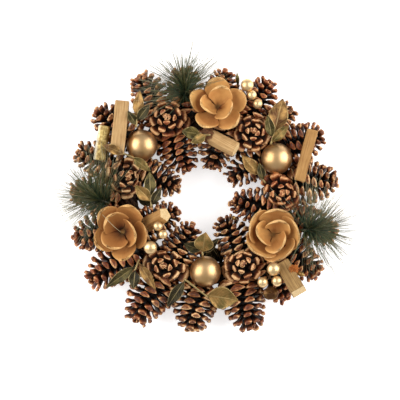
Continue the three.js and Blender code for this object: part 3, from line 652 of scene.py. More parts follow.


# Stations along a fine scale. Widths are shares of the lip's half width, thicknesses of the scale's size,
# and the last value says how far the colour has gone from painted shade at the root towards the pale lip.
STATIONS = np.array(
    [
        # along, width, above, below, lip
        (0.0, 0.62, 0.040, 0.060, 0.02),
        (0.30, 0.72, 0.036, 0.060, 0.07),
        (0.55, 0.84, 0.040, 0.074, 0.17),
        (0.70, 0.92, 0.052, 0.104, 0.32),
        (0.82, 1.02, 0.080, 0.154, 0.52),
        (0.90, 1.04, 0.102, 0.180, 0.76),
        (0.96, 0.99, 0.106, 0.176, 1.00),
        (0.99, 0.90, 0.092, 0.152, 1.00),
        (1.01, 0.76, 0.072, 0.122, 0.92),
        (1.028, 0.56, 0.048, 0.084, 0.74),
        (1.042, 0.34, 0.028, 0.046, 0.72),
        (1.054, 0.13, 0.012, 0.018, 0.86),
    ]
)
SCALE_SIDES = 10
PAST_LIP = 1.4  # how far the stations beyond the lip stand out, in sizes


def fine_scale(draw, run, size, narrowed, swollen):
    """A scale's points out, across and up from its root, narrow there and with a thick rhombic lip at the
    end of its run, and how far the colour has gone towards the lip's, held back on its underside as painted
    shade."""
    size = size * (0.97 + 0.08 * draw.random())
    half = SCALE_HALF_WIDTH * size * (0.88 + 0.18 * draw.random()) * (1 - narrowed)
    twist = 0.3 * (draw.random() - 0.5)
    curl = 0.02 + 0.07 * draw.random()
    trough = 0.06 + 0.14 * draw.random()
    phase = 6.28 * draw.random()
    pale = 0.74 + 0.4 * draw.random() + 0.2 * swollen
    angle = circle(SCALE_SIDES) + math.pi / SCALE_SIDES
    cosine = np.cos(angle)
    sine = np.sin(angle)
    along, width, above, below, lip = STATIONS.T[..., None]
    outer = smoothstep(0.5, 0.9, along)
    rhombic = smoothstep(0.7, 0.9, along)
    out = np.where(along <= 1, along * run, run + (along - 1) * size * PAST_LIP) * np.ones(SCALE_SIDES)
    across = np.sign(cosine) * np.abs(cosine) ** (0.8 + 0.5 * rhombic)
    side = half * width * across * (1 + 0.05 * np.sin(3 * angle + phase) * outer)
    rise = np.where(sine > 0, above, below) * np.sign(sine) * np.abs(sine) ** (1.1 + 0.3 * rhombic)
    rise = rise * size * (1.1 + swollen * smoothstep(0.6, 0.85, along))
    rise = rise + trough * half * cosine**2 * width**2 * smoothstep(0.2, 0.85, along)
    rise = rise + (curl - 0.04) * size * smoothstep(0.4, 1.05, along)
    rise = rise + 0.012 * size * np.sin(5 * angle + phase * 3) * np.sin(17 * along + phase)
    twisted = side + (side * (math.cos(twist) - 1) - rise * math.sin(twist)) * along
    lifted = rise + side * math.sin(twist) * along
    rim = np.abs(across) ** 5 * 0.4 * outer * (along < 1)
    # Painted shade: the underside of each scale is painted darker.
    shade = np.where(sine < 0, 0.72 + 0.25 * swollen, 1.0)
    return np.stack([out, twisted, lifted], axis=-1), np.clip((lip * shade + rim) * pale, 0, 1)


def cone_core(cone):
    share = np.linspace(0, 1, 18)
    sides = 20
    radius = cone["radius"] * CORE_RADIUS * cone["fullness"] * (1 - TAPER * share**2)
    radius *= np.sqrt(np.clip(1 - np.maximum(0, share - 0.8) ** 2 / 0.045, 0.02, 1))
    radius[0] *= 0.5
    knobs = 1 + 0.06 * np.sin(5 * circle(sides) + 9 * math.pi * share[:, None])
    return spun(radius, cone["length"] * (0.01 + 0.87 * share), sides, knobs)


CLEARANCE = 0.6
MIDDLE_SCALE = 0.92  # size of the scales grown between the frame's own
SHORTEST = 0.2  # least reach of such a scale
# Lines that feel for room: how far to a side, in half widths, and how far up.
FEELERS = ((0, 0), (-0.8, 0.5), (0.8, 0.5), (0, 1.2), (0, -1.6))
CROWN_NUBS = 5


def middle_reach(tree, cone, k, wanted, turn, stalk):
    """How far a scale on the far side of scale k's place can reach, clear of the other nodes."""
    share, root, length, directions = scale_axes(cone, k)
    half = SCALE_HALF_WIDTH * scale_size(cone, share, wanted)
    free = wanted
    for side, up in FEELERS:
        line = np.array([(1.5, 0.4 * side * half, up), (length * wanted, side * half, up)])
        start, finish = placed((root + line @ directions) * OPPOSITE, turn, stalk)
        run = np.linalg.norm(finish - start)
        hit = tree.ray_cast(Vector(start), Vector((finish - start) / run), run + CLEARANCE)
        if hit[0] is not None:
            free = min(free, wanted * max(0.0, hit[3] - CLEARANCE) / run)
    return free


def pine_cone(cone):
    draw = random.Random(cone["seed"])
    stalk, turn, reaches = find_cone(cone)
    tree = neighbours_tree(cone["node"])
    own_tone = 0.15 + 0.7 * draw.random()
    batch = Batch()
    # The core is painted almost black, as painted shade inside the cone.
    batch.grid(placed(cone_core(cone), turn, stalk), lip=0.05, tone=own_tone)

    def grow(root, directions, run, size, tone, narrowed, swollen):
        points, lip = fine_scale(draw, run, size, narrowed, swollen)
        batch.grid(resting(placed(root + points @ directions, turn, stalk)), lip=lip, tone=tone)

    for k, reach in enumerate(reaches):
        share, root, length, directions = scale_axes(cone, k)
        tone = min(1.0, max(0.0, own_tone + 0.6 * (draw.random() - 0.3)))
        upper = smoothstep(0.1, 0.6, share)
        form = (cone["tip_narrowing"] * upper, cone["tip_swelling"] * upper)
        if reach > 0:
            grow(root, directions, length * reach, scale_size(cone, share, reach), tone, *form)
        if share > cone["middle_scales_to"]:
            continue
        nearest = [reaches[i] for i in (k - 4, k - 1, k + 1, k + 4) if 0 <= i < len(reaches)]
        wanted = sum(nearest) / len(nearest) * (0.96 + 0.06 * draw.random())
        reach = middle_reach(tree, cone, k, wanted, turn, stalk)
        if reach > SHORTEST:
            size = MIDDLE_SCALE * scale_size(cone, share, reach)
            grow(root * OPPOSITE, directions * OPPOSITE, length * reach, size, tone, *form)
    root = UP * cone["length"] * 0.76
    for j in range(CROWN_NUBS):
        angle = j * GOLDEN_ANGLE + draw.random()
        radial = np.array([math.cos(angle), math.sin(angle), 0.0])
        outward = unit(UP + (0.08 + 0.75 * j / CROWN_NUBS) * radial)
        across = np.cross(UP, radial)
        directions = np.array([outward, across, np.cross(outward, across)])
        run = cone["length"] * (0.2 - 0.012 * j)
        grow(root, directions, run, cone["radius"] * 0.34, own_tone, 0.1, cone["tip_swelling"])
    batch.finish(cone["node"] + "_scales", CONE, "cone", cone["node"])


OUTER_SEAT = 97.0
INNER_SEAT = 79.0
# Outer cones: bearing, how far out the tip reaches, radius.
OUTER_CONES = [
    (7.7, 157, 26),
    (29, 157, 26),
    (46, 148, 22.5),
    (61, 157, 25),
    (81, 150, 24),
    (100, 156, 25),
    (118.4, 162, 26),
    (141.5, 165, 26),
    (160.5, 161, 25),
    (178, 157, 24),
    (198, 163, 26),
    (216.5, 169, 27),
    (240.6, 168, 28),
    (264.4, 158, 29),
    (290, 165, 28),
    (309.5, 157, 25),
    (326, 161, 25),
    (344.5, 161, 25),
]
# Inner cones: bearing, how near the middle the tip comes, radius.
INNER_CONES = [
    (35, 21, 22),
    (77, 21, 24),
    (120, 26, 24),
    (160, 23, 22),
    (205.9, 27, 22),
    (246, 26, 24),
    (305, 23, 24),
    (350, 21, 23),
]
# Face cones: where the stalk stands, which way the tip leans, length, radius.
FACE_CONES = [
    ("upper_left", -43, 88, (0.02, 0.03), 42, 27),
    ("upper_right", 52, 70, (0.06, 0.12), 42, 25),
    ("right", 85, 7, (0.02, -0.1), 41, 25.5),
    ("left", -94, 24, (0.3, -0.06), 42, 26.5),
    ("lower_left", -43.5, -79, (-0.08, 0.08), 43, 28),
    ("lower_right", 46, -78, (-0.12, 0.12), 42, 27),
]
# What the cones seen from the side have in common, and the ones seen on their tips.
SIDE_CONE = {
    "tip_angle": BLUNT_TIP,
    "middle_scales_to": 1.0,
    "tip_narrowing": 0.1,
    "tip_swelling": 0.1,
    "fullness": 1.5,
}
FACE_CONE = {
    "tip_angle": CLOSED_TIP,
    "middle_scales_to": 0.5,
    "tip_narrowing": 0.14,
    "tip_swelling": 0.35,
    "fullness": 0.96,
}


def all_cones():
    for i, (bearing, reach, radius) in enumerate(OUTER_CONES):
        out = compass(bearing)
        yield {
            **SIDE_CONE,
            "node": f"cone_outer_{i + 1:02d}",
            "at": out * OUTER_SEAT,
            "height": 19.0,
            "aim": (*out, 0.16),
            "roll": 77 * i,
            "seed": 100 + i,
            "length": reach - OUTER_SEAT,
            "radius": radius,
            "scales": 32,
        }
    for i, (bearing, reach, radius) in enumerate(INNER_CONES):
        out = compass(bearing)
        yield {
            **SIDE_CONE,
            "node": f"cone_inner_{i + 1}",
            "at": out * INNER_SEAT,
            "height": 21.0,
            "aim": (*(-out), 0.2 if i % 2 else 0.0),
            "roll": 61 * i,
            "seed": 200 + i,
            "length": INNER_SEAT - reach,
            "radius": radius,
            "scales": 28,
        }
    for i, (where, x, y, lean, length, radius) in enumerate(FACE_CONES):
        yield {
            **FACE_CONE,
            "node": f"cone_face_{where}",
            "at": (x, y),
            "height": 26.0,
            "aim": (*lean, 1.0),
            "roll": 40 + 53 * i,
            "seed": 300 + i,
            "length": length,
            "radius": radius,
            "scales": 34,
        }


# Gold balls, each with the neck and ribbed collar of its cap.

NECK_RADII = np.array([0.4, 3.3, 3.5, 3.2, 3.4])
NECK_HEIGHTS = np.array([0.0, 0.0, 1.2, 1.6, 2.6])
NECK_SIDES = 32


def gold_ball(where):
    low, high = node_box(f"ball_{where}")
    x, y = on_wreath(*BALLS[where])
    batch = Batch()
    ball(batch, np.array([x, y, high[2] - BALL_RADIUS]), BALL_RADIUS, 40, 72)
    ribs = 1 + 0.03 * np.sin(8 * circle(NECK_SIDES))
    batch.grid(spun(NECK_RADII, NECK_HEIGHTS, NECK_SIDES, ribs) + [x, y, low[2]])
    batch.finish(f"gold_ball_{where}", GOLD, "ball", f"ball_{where}")


# Thin closed blades, for petals and leaves: shape(side, along) gives the middle surface.


def crowded(rows):
    """Places along a blade, closer together towards its tip."""
    return np.sin(np.linspace(0, math.pi / 2, rows + 1))


def blade(batch, columns, rows_at, thickness, shape, turn, position, **constants):
    side, along = np.meshgrid(np.linspace(-1, 1, columns + 1), rows_at)
    step = 0.01
    middle = shape(side, along)
    across = shape(side + step, along) - shape(side - step, along)
    onward = shape(side, along + step) - shape(side, along - step)
    normal = np.cross(onward, across)
    normal /= np.maximum(np.linalg.norm(normal, axis=-1), 1e-9)[..., None]
    edge = normal * (np.sqrt(np.clip(1 - np.abs(side) ** 8, 0.15, 1)) * thickness / 2)[..., None]
    ring = np.concatenate([middle - edge, (middle + edge)[:, ::-1]], axis=1)
    sides = np.concatenate([side, side[:, ::-1]], axis=1)
    batch.grid(placed(ring, turn, position), side=sides, along=rows_at[:, None], **constants)


# Wood-shaving flowers.

WHORL_STEP = 3.5
PAINTED_HOLLOW_SHADE = (1.0, 0.15)  # how much painted shade darkens the colour low in the petals of each whorl
PAINTED_SHADE_EDGE = 0.74  # how far along a petal that painted shade ends
PEG_FOOT = 8.5
PETAL_CELLS = 26
PETAL_THICKNESS = 0.8
HEART_RADII = (0.5, 2.2, 2.4, 3.6, 4.4, 4.0, 2.6, 0.8)
HEART_HEIGHTS = (-8.5, -8.5, -4.0, -2.0, 0.0, 1.4, 2.4, 2.8)
OPEN_BLOOM = (
    {"length": 33, "slopes": (6, 44), "count": 5, "spread": 43, "lean": 2.0, "root": 3.0, "dip": 0.13},
    {"length": 26, "slopes": (22, 72), "count": 3, "spread": 74, "lean": 2.6, "root": 1.6, "dip": 0.13},
)
DEEP_BLOOM = (
    {"length": 33, "slopes": (6, 44), "count": 5, "spread": 47, "lean": 2.2, "root": 3.0, "dip": 0.13},
    {"length": 26, "slopes": (22, 72), "count": 3, "spread": 80, "lean": 3.0, "root": 3.4, "dip": 0.13},
)
CUPPED_BLOOM = (
    {"length": 33, "slopes": (10, 62), "count": 5, "spread": 62, "lean": 2.6, "root": 3.0, "dip": 0.03},
    {"length": 25, "slopes": (20, 78), "count": 3, "spread": 84, "lean": 4.2, "root": 1.4, "dip": 0.06},
)
# Each flower: node, place, aim, roll, bloom and how much painted shade darkens it all over.
FLOWERS = [
    ("flower_top", (14, 99), (0.02, 0.34, 1), 20, OPEN_BLOOM, 0.0),
    ("flower_left", (-91, -38), (-0.28, -0.05, 1), 64, DEEP_BLOOM, 0.65),
    ("flower_right", (75.8, -42), (0, 0, 1), 10, CUPPED_BLOOM, 0.1),
]


def petal_shape(whorl, bearing, height, phase, ruffle):
    """A cupped petal: an arc between two slopes from the flower's axis, that leans in at its sides."""
    foot, rim = (math.radians(slope) for slope in whorl["slopes"])
    bend = rim - foot
    wedge = math.pi / whorl["count"]

    def shape(side, along):
        rounding = np.sqrt(np.clip(1 - (np.maximum(0, along - 0.56) / 0.49) ** 2, 0.002, 1))
        opening = np.maximum(0, along - 0.3) * (math.radians(whorl["spread"]) - wedge) * 2
        around = bearing + side * (0.92 * wedge + opening) * rounding
        slope = foot + bend * along * (1 - whorl["dip"] * side**2)
        out = whorl["length"] * (np.sin(slope) - math.sin(foot)) / bend
        climb = whorl["length"] * (math.cos(foot) - np.cos(slope)) / bend
        inward = whorl["lean"] * side * along + ruffle * along**2 * np.sin(3.2 * side + phase)
        radius = whorl["root"] + out - inward * np.sin(slope)
        rise = height + climb + inward * np.cos(slope)
        return np.stack([radius * np.cos(around), radius * np.sin(around), rise], axis=-1)

    return shape


def flower(node, at, aim, roll, bloom, depth):
    draw = random.Random(node)
    turn = aimed(aim, roll)
    position = standing(node, at, unit(aim), PEG_FOOT)
    rows_at = crowded(PETAL_CELLS)
    inside = 1 - smoothstep(PAINTED_SHADE_EDGE - 0.04, PAINTED_SHADE_EDGE + 0.04, rows_at)
    batch = Batch()
    for order, whorl in enumerate(bloom):
        for i in range(whorl["count"]):
            bearing = (i + 0.5 * order) / whorl["count"] * FULL_TURN
            phase = 6.28 * draw.random()
            ruffle = 0.3 + 0.4 * draw.random()
            tone = 10 * draw.random()
            shape = petal_shape(whorl, bearing, WHORL_STEP * order, phase, ruffle)
            # Painted shade: the colour is darkened low in each petal, most on petals turned to the left.
            to_left = max(0.0, -(turn @ [math.cos(bearing), math.sin(bearing), 0])[0])
            hollow_shade = PAINTED_HOLLOW_SHADE[order] * (0.2 + 0.8 * to_left) * inside
            painted_shading = np.minimum(1.0, depth + hollow_shade)[:, None]
            seat = (turn, position)
            blade(batch, PETAL_CELLS, rows_at, PETAL_THICKNESS, shape, *seat, tone=tone, depth=painted_shading)
    # The heart is painted dark brown, as painted shade in the hole in the flower's middle.
    batch.grid(placed(spun(HEART_RADII, HEART_HEIGHTS, 20), turn, position), along=0.08)
    batch.finish(node + "_petals", SHAVING, "shaving", node)


# Cut sticks.

STICK_ROWS = 44
END_RINGS = (0.5, 0.97)  # the rings that each cut end is closed with, as shares of its outline
FLOWER_SHADOW_PATCH = {"top": -9.0}  # how far along such a stick the painted shadow of the flower over its end reaches
# Name, bearing, pitch, length with width and height, sides, material and slot.
STICKS = [
    ("left_slat", 84.5, 0, (60, 16, 10), 4, PALE_WOOD, "stick"),
    ("left_bark", 81.6, 0, (39, 13, 11), 7, GILDED_BARK, "bark_stick"),
    ("top", -29, 16, (43, 16, 14), 6, PALE_WOOD, "stick"),
    ("right_slat", 75.5, 0, (59, 12.5, 9), 4, HONEY_WOOD, "stick"),
    ("bottom_right", -60, 32, (40, 17, 15), 4, OLIVE_WOOD, "stick"),
    ("inner_left", 30, 46, (34, 15, 14), 5, HONEY_WOOD, "stick"),
]


def prism_corners(width, height, sides):
    angle = circle(sides) + math.pi / sides
    flat = math.cos(math.pi / sides)
    return np.stack([width / 2 / flat * np.sin(angle), -height / 2 / flat * np.cos(angle)], axis=-1)


def stick(name, bearing, pitch, size, sides, material, slot):
    node = f"stick_{name}"
    length, width, height = size
    draw = random.Random(node)
    turn = laid(bearing, pitch)
    corners = prism_corners(width, height, sides)
    low, high = node_box(node)
    plain = placed(np.array([(x, y, z) for x in (-length / 2, length / 2) for y, z in corners]), turn, 0)
    position = (low + high) / 2 - (plain.min(axis=0) + plain.max(axis=0)) / 2
    per_side = 12 if sides < 6 else 6
    t = ((np.arange(per_side) + 0.5) / per_side)[:, None]
    section = np.concatenate([a + (b - a) * t for a, b in zip(corners, np.roll(corners, -1, axis=0))])
    along = np.linspace(-length / 2, length / 2, STICK_ROWS)[:, None]
    around = circle(len(section))
    phase = [6.28 * draw.random() for _ in range(6)]
    inset = 0.35 + 0.12 * np.sin(11 * around + phase[0]) + 0.1 * np.sin(19 * around + phase[1])
    inset = inset + 0.3 * np.sin(along / length * 5 + phase[2]) * np.sin(around + phase[3])
    inset = inset + 0.1 * np.sin(27 * around + 0.25 * along + phase[4])
    if material is GILDED_BARK:
        inset = inset + 0.2 * np.sin(0.5 * along + phase[5]) * np.sin(3 * around + phase[1])
    inset = np.maximum(inset, 0.0)
    inset[[0, -1]] += 0.5
    scale = 1 - inset / np.linalg.norm(section, axis=1)
    points = np.stack([along + 0 * scale, section[:, 0] * scale, section[:, 1] * scale], axis=-1)
    start, finish = ([points[row] * [1, share, share] for share in END_RINGS] for row in (0, -1))
    points = np.concatenate([start, points, finish[::-1]])
    end = np.zeros((len(points), 1))
    end[: len(END_RINGS)] = 1
    end[-len(END_RINGS) :] = 1
    # Painted shadow: mottled dark brown on the end of the top stick, where the top flower's shadow falls.
    edge = FLOWER_SHADOW_PATCH.get(name, -length) + 2.0 * np.sin(3 * around + phase[0]) + np.sin(7 * around + phase[1])
    bark = (1 - smoothstep(-0.6, 0.6, points[..., 0] - edge)) * (1 - end)
    girth = np.cumsum(np.linalg.norm(np.roll(section, -1, axis=0) - section, axis=1))
    values = {"along": points[..., 0], "side": girth, "end": end, "bark": bark, "tone": 10 * draw.random()}
    batch = Batch()
    batch.grid(placed(points, turn, position), **values)
    batch.finish(f"wood_{name}", material, slot, node)


# Gilded leaf sprigs.

STALK_SHARE = 0.1
STALK_HALF_WIDTH = 0.5
FULLNESS = 0.85
LEAF_FOLD = 0.25
LEAF_BEND = 0.12
LEAF_WAVE = 0.8
LEAF_WAVES = 7
LEAF_THICKNESS = 0.6
LEAF_RUFFLE = 0.9  # the fine frill that the frame's leaves don't have
# Each sprig: node, place, bearing with pitch and length of its stem, and its leaves.
# Each leaf: bearing, length, half width, start along the stem, pitch, tone.
SPRIGS = [
    (
        "leaves_upper_right",
        (75, 65),
        (76, 8, 14),
        [(75, 41, 10.5, 5, 4, 0.9), (102, 27, 5, 0, 20, 0.35), (46, 27, 5, -5, 18, 0.55)],
    ),
    ("leaves_upper_inner", (64, 20), (130, 6, 12), [(130, 31, 6.5, 4, 4, 0.75), (104, 20, 4, -2, 20, 0.3)]),
    ("leaves_top", (0, 69), (178, 6, 12), [(170, 22, 6.5, 4, 4, 0.4), (208, 20, 5, -2, 20, 0.6)]),
    (
        "leaves_upper_left",
        (-76, 84),
        (86, 8, 14),
        [(84, 31, 5.5, 3, 4, 0.8), (52, 24, 5, 0, 18, 0.2), (122, 18, 4.5, -4, 20, 0.3)],
    ),
    ("leaves_left", (-85, 46), (156, 4, 12), [(158, 26, 5, 4, 4, 0.9), (-37, 26, 5, -4, 14, 0.55)]),
    (
        "leaves_left_inner",
        (-60, -5),
        (95, 10, 14),
        [(92, 29, 6, 4, 4, 0.35), (134, 25, 6.5, 0, 20, 0.75), (60, 22, 4.5, -4, 18, 0.15)],
    ),
    (
        "leaves_bottom_inner",
        (-3, -60),
        (95, 10, 13),
        [(82, 25, 10.5, -3, 26, 0.62), (160, 22, 6, 0, 8, 0.2), (44, 25, 4, -4, 8, 0.12)],
    ),
    ("leaves_bottom", (-10, -101.5), (-38, 0, 34), [(-10, 38, 12, 12, 4, 0.64), (-124, 36, 6, -15, 5, 0.12)]),
    (
        "leaves_lower_left",
        (-76, -76),
        (-110, 4, 14),
        [(-144, 42, 5.5, 0, 2, 0.3), (-58, 36, 5, -4, 8, 0.85), (-96, 22, 6, 5, 16, 0.1)],
    ),
]


def leaf_shape(length, half_width, ruffle=0.0, phase=0.0):
    full = (1 - STALK_SHARE) ** FULLNESS

    def shape(side, along):
        grown = np.clip(along - STALK_SHARE, 0, 1 - STALK_SHARE) ** FULLNESS
        width = STALK_HALF_WIDTH + half_width * np.sin(math.pi * grown / full)
        rise = LEAF_FOLD * width * np.abs(side) - LEAF_BEND * length * along**2
        rise = rise + LEAF_WAVE * side * np.sin(LEAF_WAVES * along)
        rise = rise + ruffle * side**2 * np.sin(10 * along + phase + 2 * side)
        return np.stack([length * along, side * width, rise], axis=-1)

    return shape


def sprig(node, at, stem, leaves):
    draw = random.Random(node)
    bearing, pitch, stem_length = stem
    stem_turn = laid(bearing, pitch)
    plain = Batch()
    seats = []
    for bearing, length, half_width, start, pitch, _ in leaves:
        seat = (laid(bearing, pitch), stem_turn @ [start, 0, 0])
        seats.append(seat)
        blade(plain, 2, np.linspace(0, 1, 5), 1.0, leaf_shape(length, half_width), *seat)
    highest = node_box(node)[1][2]
    base = np.array([*on_wreath(*at), highest - np.vstack(plain.points)[:, 2].max()])
    batch = Batch()
    for (turn, position), (_, length, half_width, _, _, tone) in zip(seats, leaves):
        shape = leaf_shape(length, half_width, LEAF_RUFFLE, 6.28 * draw.random())
        blade(batch, 14, crowded(30), LEAF_THICKNESS, shape, turn, base + position, tone=tone)
    ends = np.array([(-stem_length / 2, 0, 0), (stem_length / 2, 0, 0)])
    path = placed(np.linspace(*ends, 8), stem_turn, base)
    tube(batch, path, np.linspace(1.2, 0.9, 8), 8, tone=0.15, side=1.0)
    batch.finish(node + "_gilded", LEAF, "leaf", node)


# Dark leaves out of the vine ring, wherever the gaps between the cones have room for one.

UNDERGROWTH_TRIES = 900
UNDERGROWTH_REACH = 60.0
UNDERGROWTH_ROOM = 0.8
UNDERGROWTH_APART = 6.0


def has_room(tree, points, room):
    for point in points:
        near, normal, _, distance = tree.find_nearest(Vector(point))
        if distance < room or (Vector(point) - near).dot(normal) < 0:
            return False
    return True


def undergrowth():
    draw = random.Random(11)
    tree = neighbours_tree("vine_ring", UNDERGROWTH_REACH)
    batch = Batch()
    middles = []
    for _ in range(UNDERGROWTH_TRIES):
        bearing = 360 * draw.random()
        outward = draw.random() < 0.6
        heading = bearing + (0 if outward else 180) + 70 * (draw.random() - 0.5)
        length = 20 + 12 * draw.random()
        half_width = 5 + 2.5 * draw.random()
        foot = compass(bearing) * (RING_RADIUS + (10 if outward else -10))
        position = np.array([*on_wreath(*foot), 6 + 9 * draw.random()])
        turn = laid(heading, 4 + 34 * draw.random())
        shape = leaf_shape(length, half_width, LEAF_RUFFLE, 6.28 * draw.random())
        tone = 0.02 + 0.3 * draw.random()
        side, along = np.meshgrid([-0.7, 0.0, 0.7], np.linspace(0.25, 1.0, 7))
        samples = placed(shape(side, along), turn, position).reshape(-1, 3)
        middle = samples.mean(axis=0)
        crowding = any(np.linalg.norm(middle - other) < UNDERGROWTH_APART for other in middles)
        if crowding or samples[:, 2].min() < 1 or not has_room(tree, samples, UNDERGROWTH_ROOM):
            continue
        middles.append(middle)
        blade(batch, 8, crowded(12), LEAF_THICKNESS, shape, turn, position, tone=tone)
    batch.finish("undergrowth_leaves", LEAF, "leaf")


# Small things between the large ones: three buds on twigs, a dry brown leaf, a stray fibre, and a tuft of
# short fibres on the edge of the bottom right stick.

# Each bud: the points of its twig and itself, in order, the radius at each, and its tone.
BUDS = [
    (
        [(38, 116, 24), (37, 124, 40), (36.5, 129, 48), (36, 133, 52), (35.6, 138, 54)],
        (0.8, 0.8, 1.9, 2.3, 0.3),
        0.4,
    ),
    (
        [(96, -82, 50), (99, -83.5, 58), (104, -84.5, 60), (107.5, -86, 61), (111, -87, 61)],
        (0.8, 0.8, 2.6, 3.0, 0.4),
        0.72,
    ),
    (
        [(38, -26, 30), (35, -25, 40), (33, -24, 46), (31.5, -23, 49), (30, -22, 51)],
        (0.7, 0.7, 2.2, 2.4, 0.3),
        0.62,
    ),
]
DRY_LEAF = (73.5, -107.5, 47.0)
DRY_LEAF_HALF_SIZE = (9.0, 7.6, 3.4)
DRY_LEAF_SIDES = 40
FIBRE = [(-114, -19.5, 60), (-108, -25, 74), (-102, -31, 77), (-97, -35.5, 75), (-93.3, -38.9, 66)]
TUFT = (98.6, -80.2, 62.6)
TUFT_REACH = 6.0
TUFT_FIBRES = 90
TUFT_DROOP = 1.4  # how far the outermost fibres hang down at their tips


def bent(points, steps):
    """A smooth curve through the points, with the same number of steps between each two."""
    points = np.array([(*on_wreath(x, y), z) for x, y, z in points])
    fine = np.linspace(0, len(points) - 1, (len(points) - 1) * steps + 1)
    slopes = np.gradient(points, axis=0)
    low = np.minimum(fine.astype(int), len(points) - 2)
    t = (fine - low)[:, None]
    ahead = (points[low + 1] - points[low]) * t * t * (3 - 2 * t)
    return points[low] + ahead + slopes[low] * (t - 2 * t**2 + t**3) + slopes[low + 1] * (t**3 - t**2)


def buds_and_dry_leaf():
    batch = Batch()
    for points, radii, tone in BUDS:
        path = bent(points, 6)
        at = np.linspace(0, len(radii) - 1, len(path))
        tube(batch, path, np.interp(at, np.arange(len(radii)), radii), 14, tone=tone, side=0.4, along=0.3)
    x, y, z = DRY_LEAF
    angle = circle(DRY_LEAF_SIDES)
    polar = (np.arange(16) + 0.5) / 16 * math.pi
    crinkle = 1 + 0.05 * np.sin(5 * angle) * np.sin(polar)[:, None]
    dome = spun(np.sin(polar), -np.cos(polar), DRY_LEAF_SIDES, crinkle)
    dome[..., 2] *= 1 + 0.2 * np.cos(2 * angle)
    batch.grid(dome * DRY_LEAF_HALF_SIZE + [*on_wreath(x, y), z], tone=1.0, side=0.3, along=0.3)
    batch.finish("buds_and_dry_leaf", LEAF, "leaf")


def stray_fibre():
    batch = Batch()
    tube(batch, bent(FIBRE, 8), 0.26, 6, along=1.0, tone=1.0)
    batch.finish("stray_fibre", NEEDLE, "needle")


def tuft():
    draw = random.Random("tuft")
    batch = Batch()
    x, y, z = TUFT
    centre = np.array([*on_wreath(x, y), z])
    t = np.linspace(0, 1, 5)[:, None]
    for k in range(TUFT_FIBRES):
        angle = k * GOLDEN_ANGLE
        climb = (k + 0.5) / TUFT_FIBRES
        flat = math.sqrt(1 - climb**2)
        aim = np.array([flat * math.cos(angle), flat * math.sin(angle), 0.15 + 0.85 * climb])
        length = TUFT_REACH * (0.75 + 0.35 * draw.random())
        path = centre + aim * length * t - UP * TUFT_DROOP * flat * t**2
        tube(batch, path, 0.42, 6, tone=10 * draw.random())
    batch.finish("orange_tuft", ORANGE_FIBRE, "shaving")


# Gold berries on wires.

# Each pick: node, place, where its wires meet, and its beads, each with its place and radius.
BERRIES = [
    (
        "berries_upper_right",
        (52, 113.5),
        (4.5, -1.5, -7),
        [(-5, 11, 1, 7.2), (0, 0, 0, 5.6), (6.6, -9.8, 0, 5.4)],
    ),
    (
        "berries_left",
        (-53, -43),
        (1, -3.5, -6),
        [(0.8, 10.5, 0, 5.3), (6.5, 1.6, 0, 5), (-7.3, -13, 0, 7.3)],
    ),
    (
        "berries_lower_right",
        (73, -89),
        (-1, -1, -7),
        [(2.8, 9, 1, 7.4), (-9.2, -5.5, 0, 5.8), (6.6, -4.2, 0, 5.8)],
    ),
]
WIRE_RADIUS = 0.6
PICK_RADIUS = 0.9
PICK_FOOT = 17.0  # height above the surface at which a pick goes into the vine ring


def berry_pick(node, at, knot, beads):
    highest = node_box(node)[1][2]
    base = np.array([*on_wreath(*at), highest - max(z + radius for _, _, z, radius in beads)])
    hub = base + knot
    foot = np.array([*on_wreath(*(unit(at) * RING_RADIUS)), PICK_FOOT])
    batch = Batch()
    t = np.linspace(0, 1, 12)[:, None]
    bow = (hub - foot) * [0.25, 0.25, 0] * np.sin(t * math.pi)
    tube(batch, hub + (foot - hub) * t + bow, PICK_RADIUS, 8, wire=1.0)
    t = np.linspace(0, 1, 8)[:, None]
    for *place, radius in beads:
        centre = base + place
        ball(batch, centre, radius, 22, 36)
        tube(batch, hub + (centre - hub) * t - UP * np.sin(t * math.pi), WIRE_RADIUS, 6, wire=1.0)
    batch.finish(node + "_beads", PEARL, "berry", node)


# Pine needle picks.

STEM_LENGTH = 22.0
STEM_RADIUS = 2.1
STEM_TAPER = 1.2
STEM_FOOT = 3.0
FLATTENING = 0.38
FIRST_LEAN = 2.0
LEAN_GAIN = 60.0
FAN_JITTER = 26  # degrees by which the lean varies, for the needles that keep to the fan
LOOSE_JITTER = 84  # and for the ones that don't
NEEDLE_LENGTH = 65.0
TIP_SHORTENING = 8.8
NEEDLES_EACH = 440
NEEDLE_STEPS = 7
NEEDLE_RADIUS = 0.32
# How much a needle that would run into a neighbour is raised, in steps, until it passes over it.
LIFTS = (0.0, 0.15, 0.3, 0.5, 0.75, 1.0)
FEEL_FROM = 3.0  # how far out from its foot a needle starts to feel for neighbours
STOP_SHORT = 1.0  # how far before a neighbour it ends
SHORTEST_NEEDLE = 0.4  # least share of its length that a needle keeps
HIGHEST_NEEDLE = 92.0
LOWEST_NEEDLE = 1.0
FLOWER_ROOM = 26.5  # how near a flower's middle a needle may come
# Each pick: node, place, aim of its stem.
SPRAYS = [
    ("needles_top", (-21, 110), (-0.2, 0.87, 0.42)),
    ("needles_left", (-110, -6), (-0.86, 0.33, 0.42)),
    ("needles_right", (110.5, -37), (0.9, 0.05, 0.42)),
]


def raised_clear(tree, base, direction, length):
    """The direction in which a needle gets furthest before it meets a neighbour, and how far that is."""
    free, best = 0.0, direction
    for lift in LIFTS:
        tried = unit(direction + lift * UP)
        hit = tree.ray_cast(Vector(base + FEEL_FROM * tried), Vector(tried), length)
        run = length if hit[0] is None else hit[3] + (FEEL_FROM - STOP_SHORT)
        if run > free:
            free, best = run, tried
        if hit[0] is None:
            break
    return free, best


def beside_flowers(base, direction, run):
    """How much of a needle's run stays beside the flowers and not over them."""
    for t in np.linspace(0.3, 1.0, 15):
        point = (base + direction * run * t)[:2]
        if any(np.linalg.norm(point - on_wreath(*entry[1])) < FLOWER_ROOM for entry in FLOWERS):
            return run * t
    return run


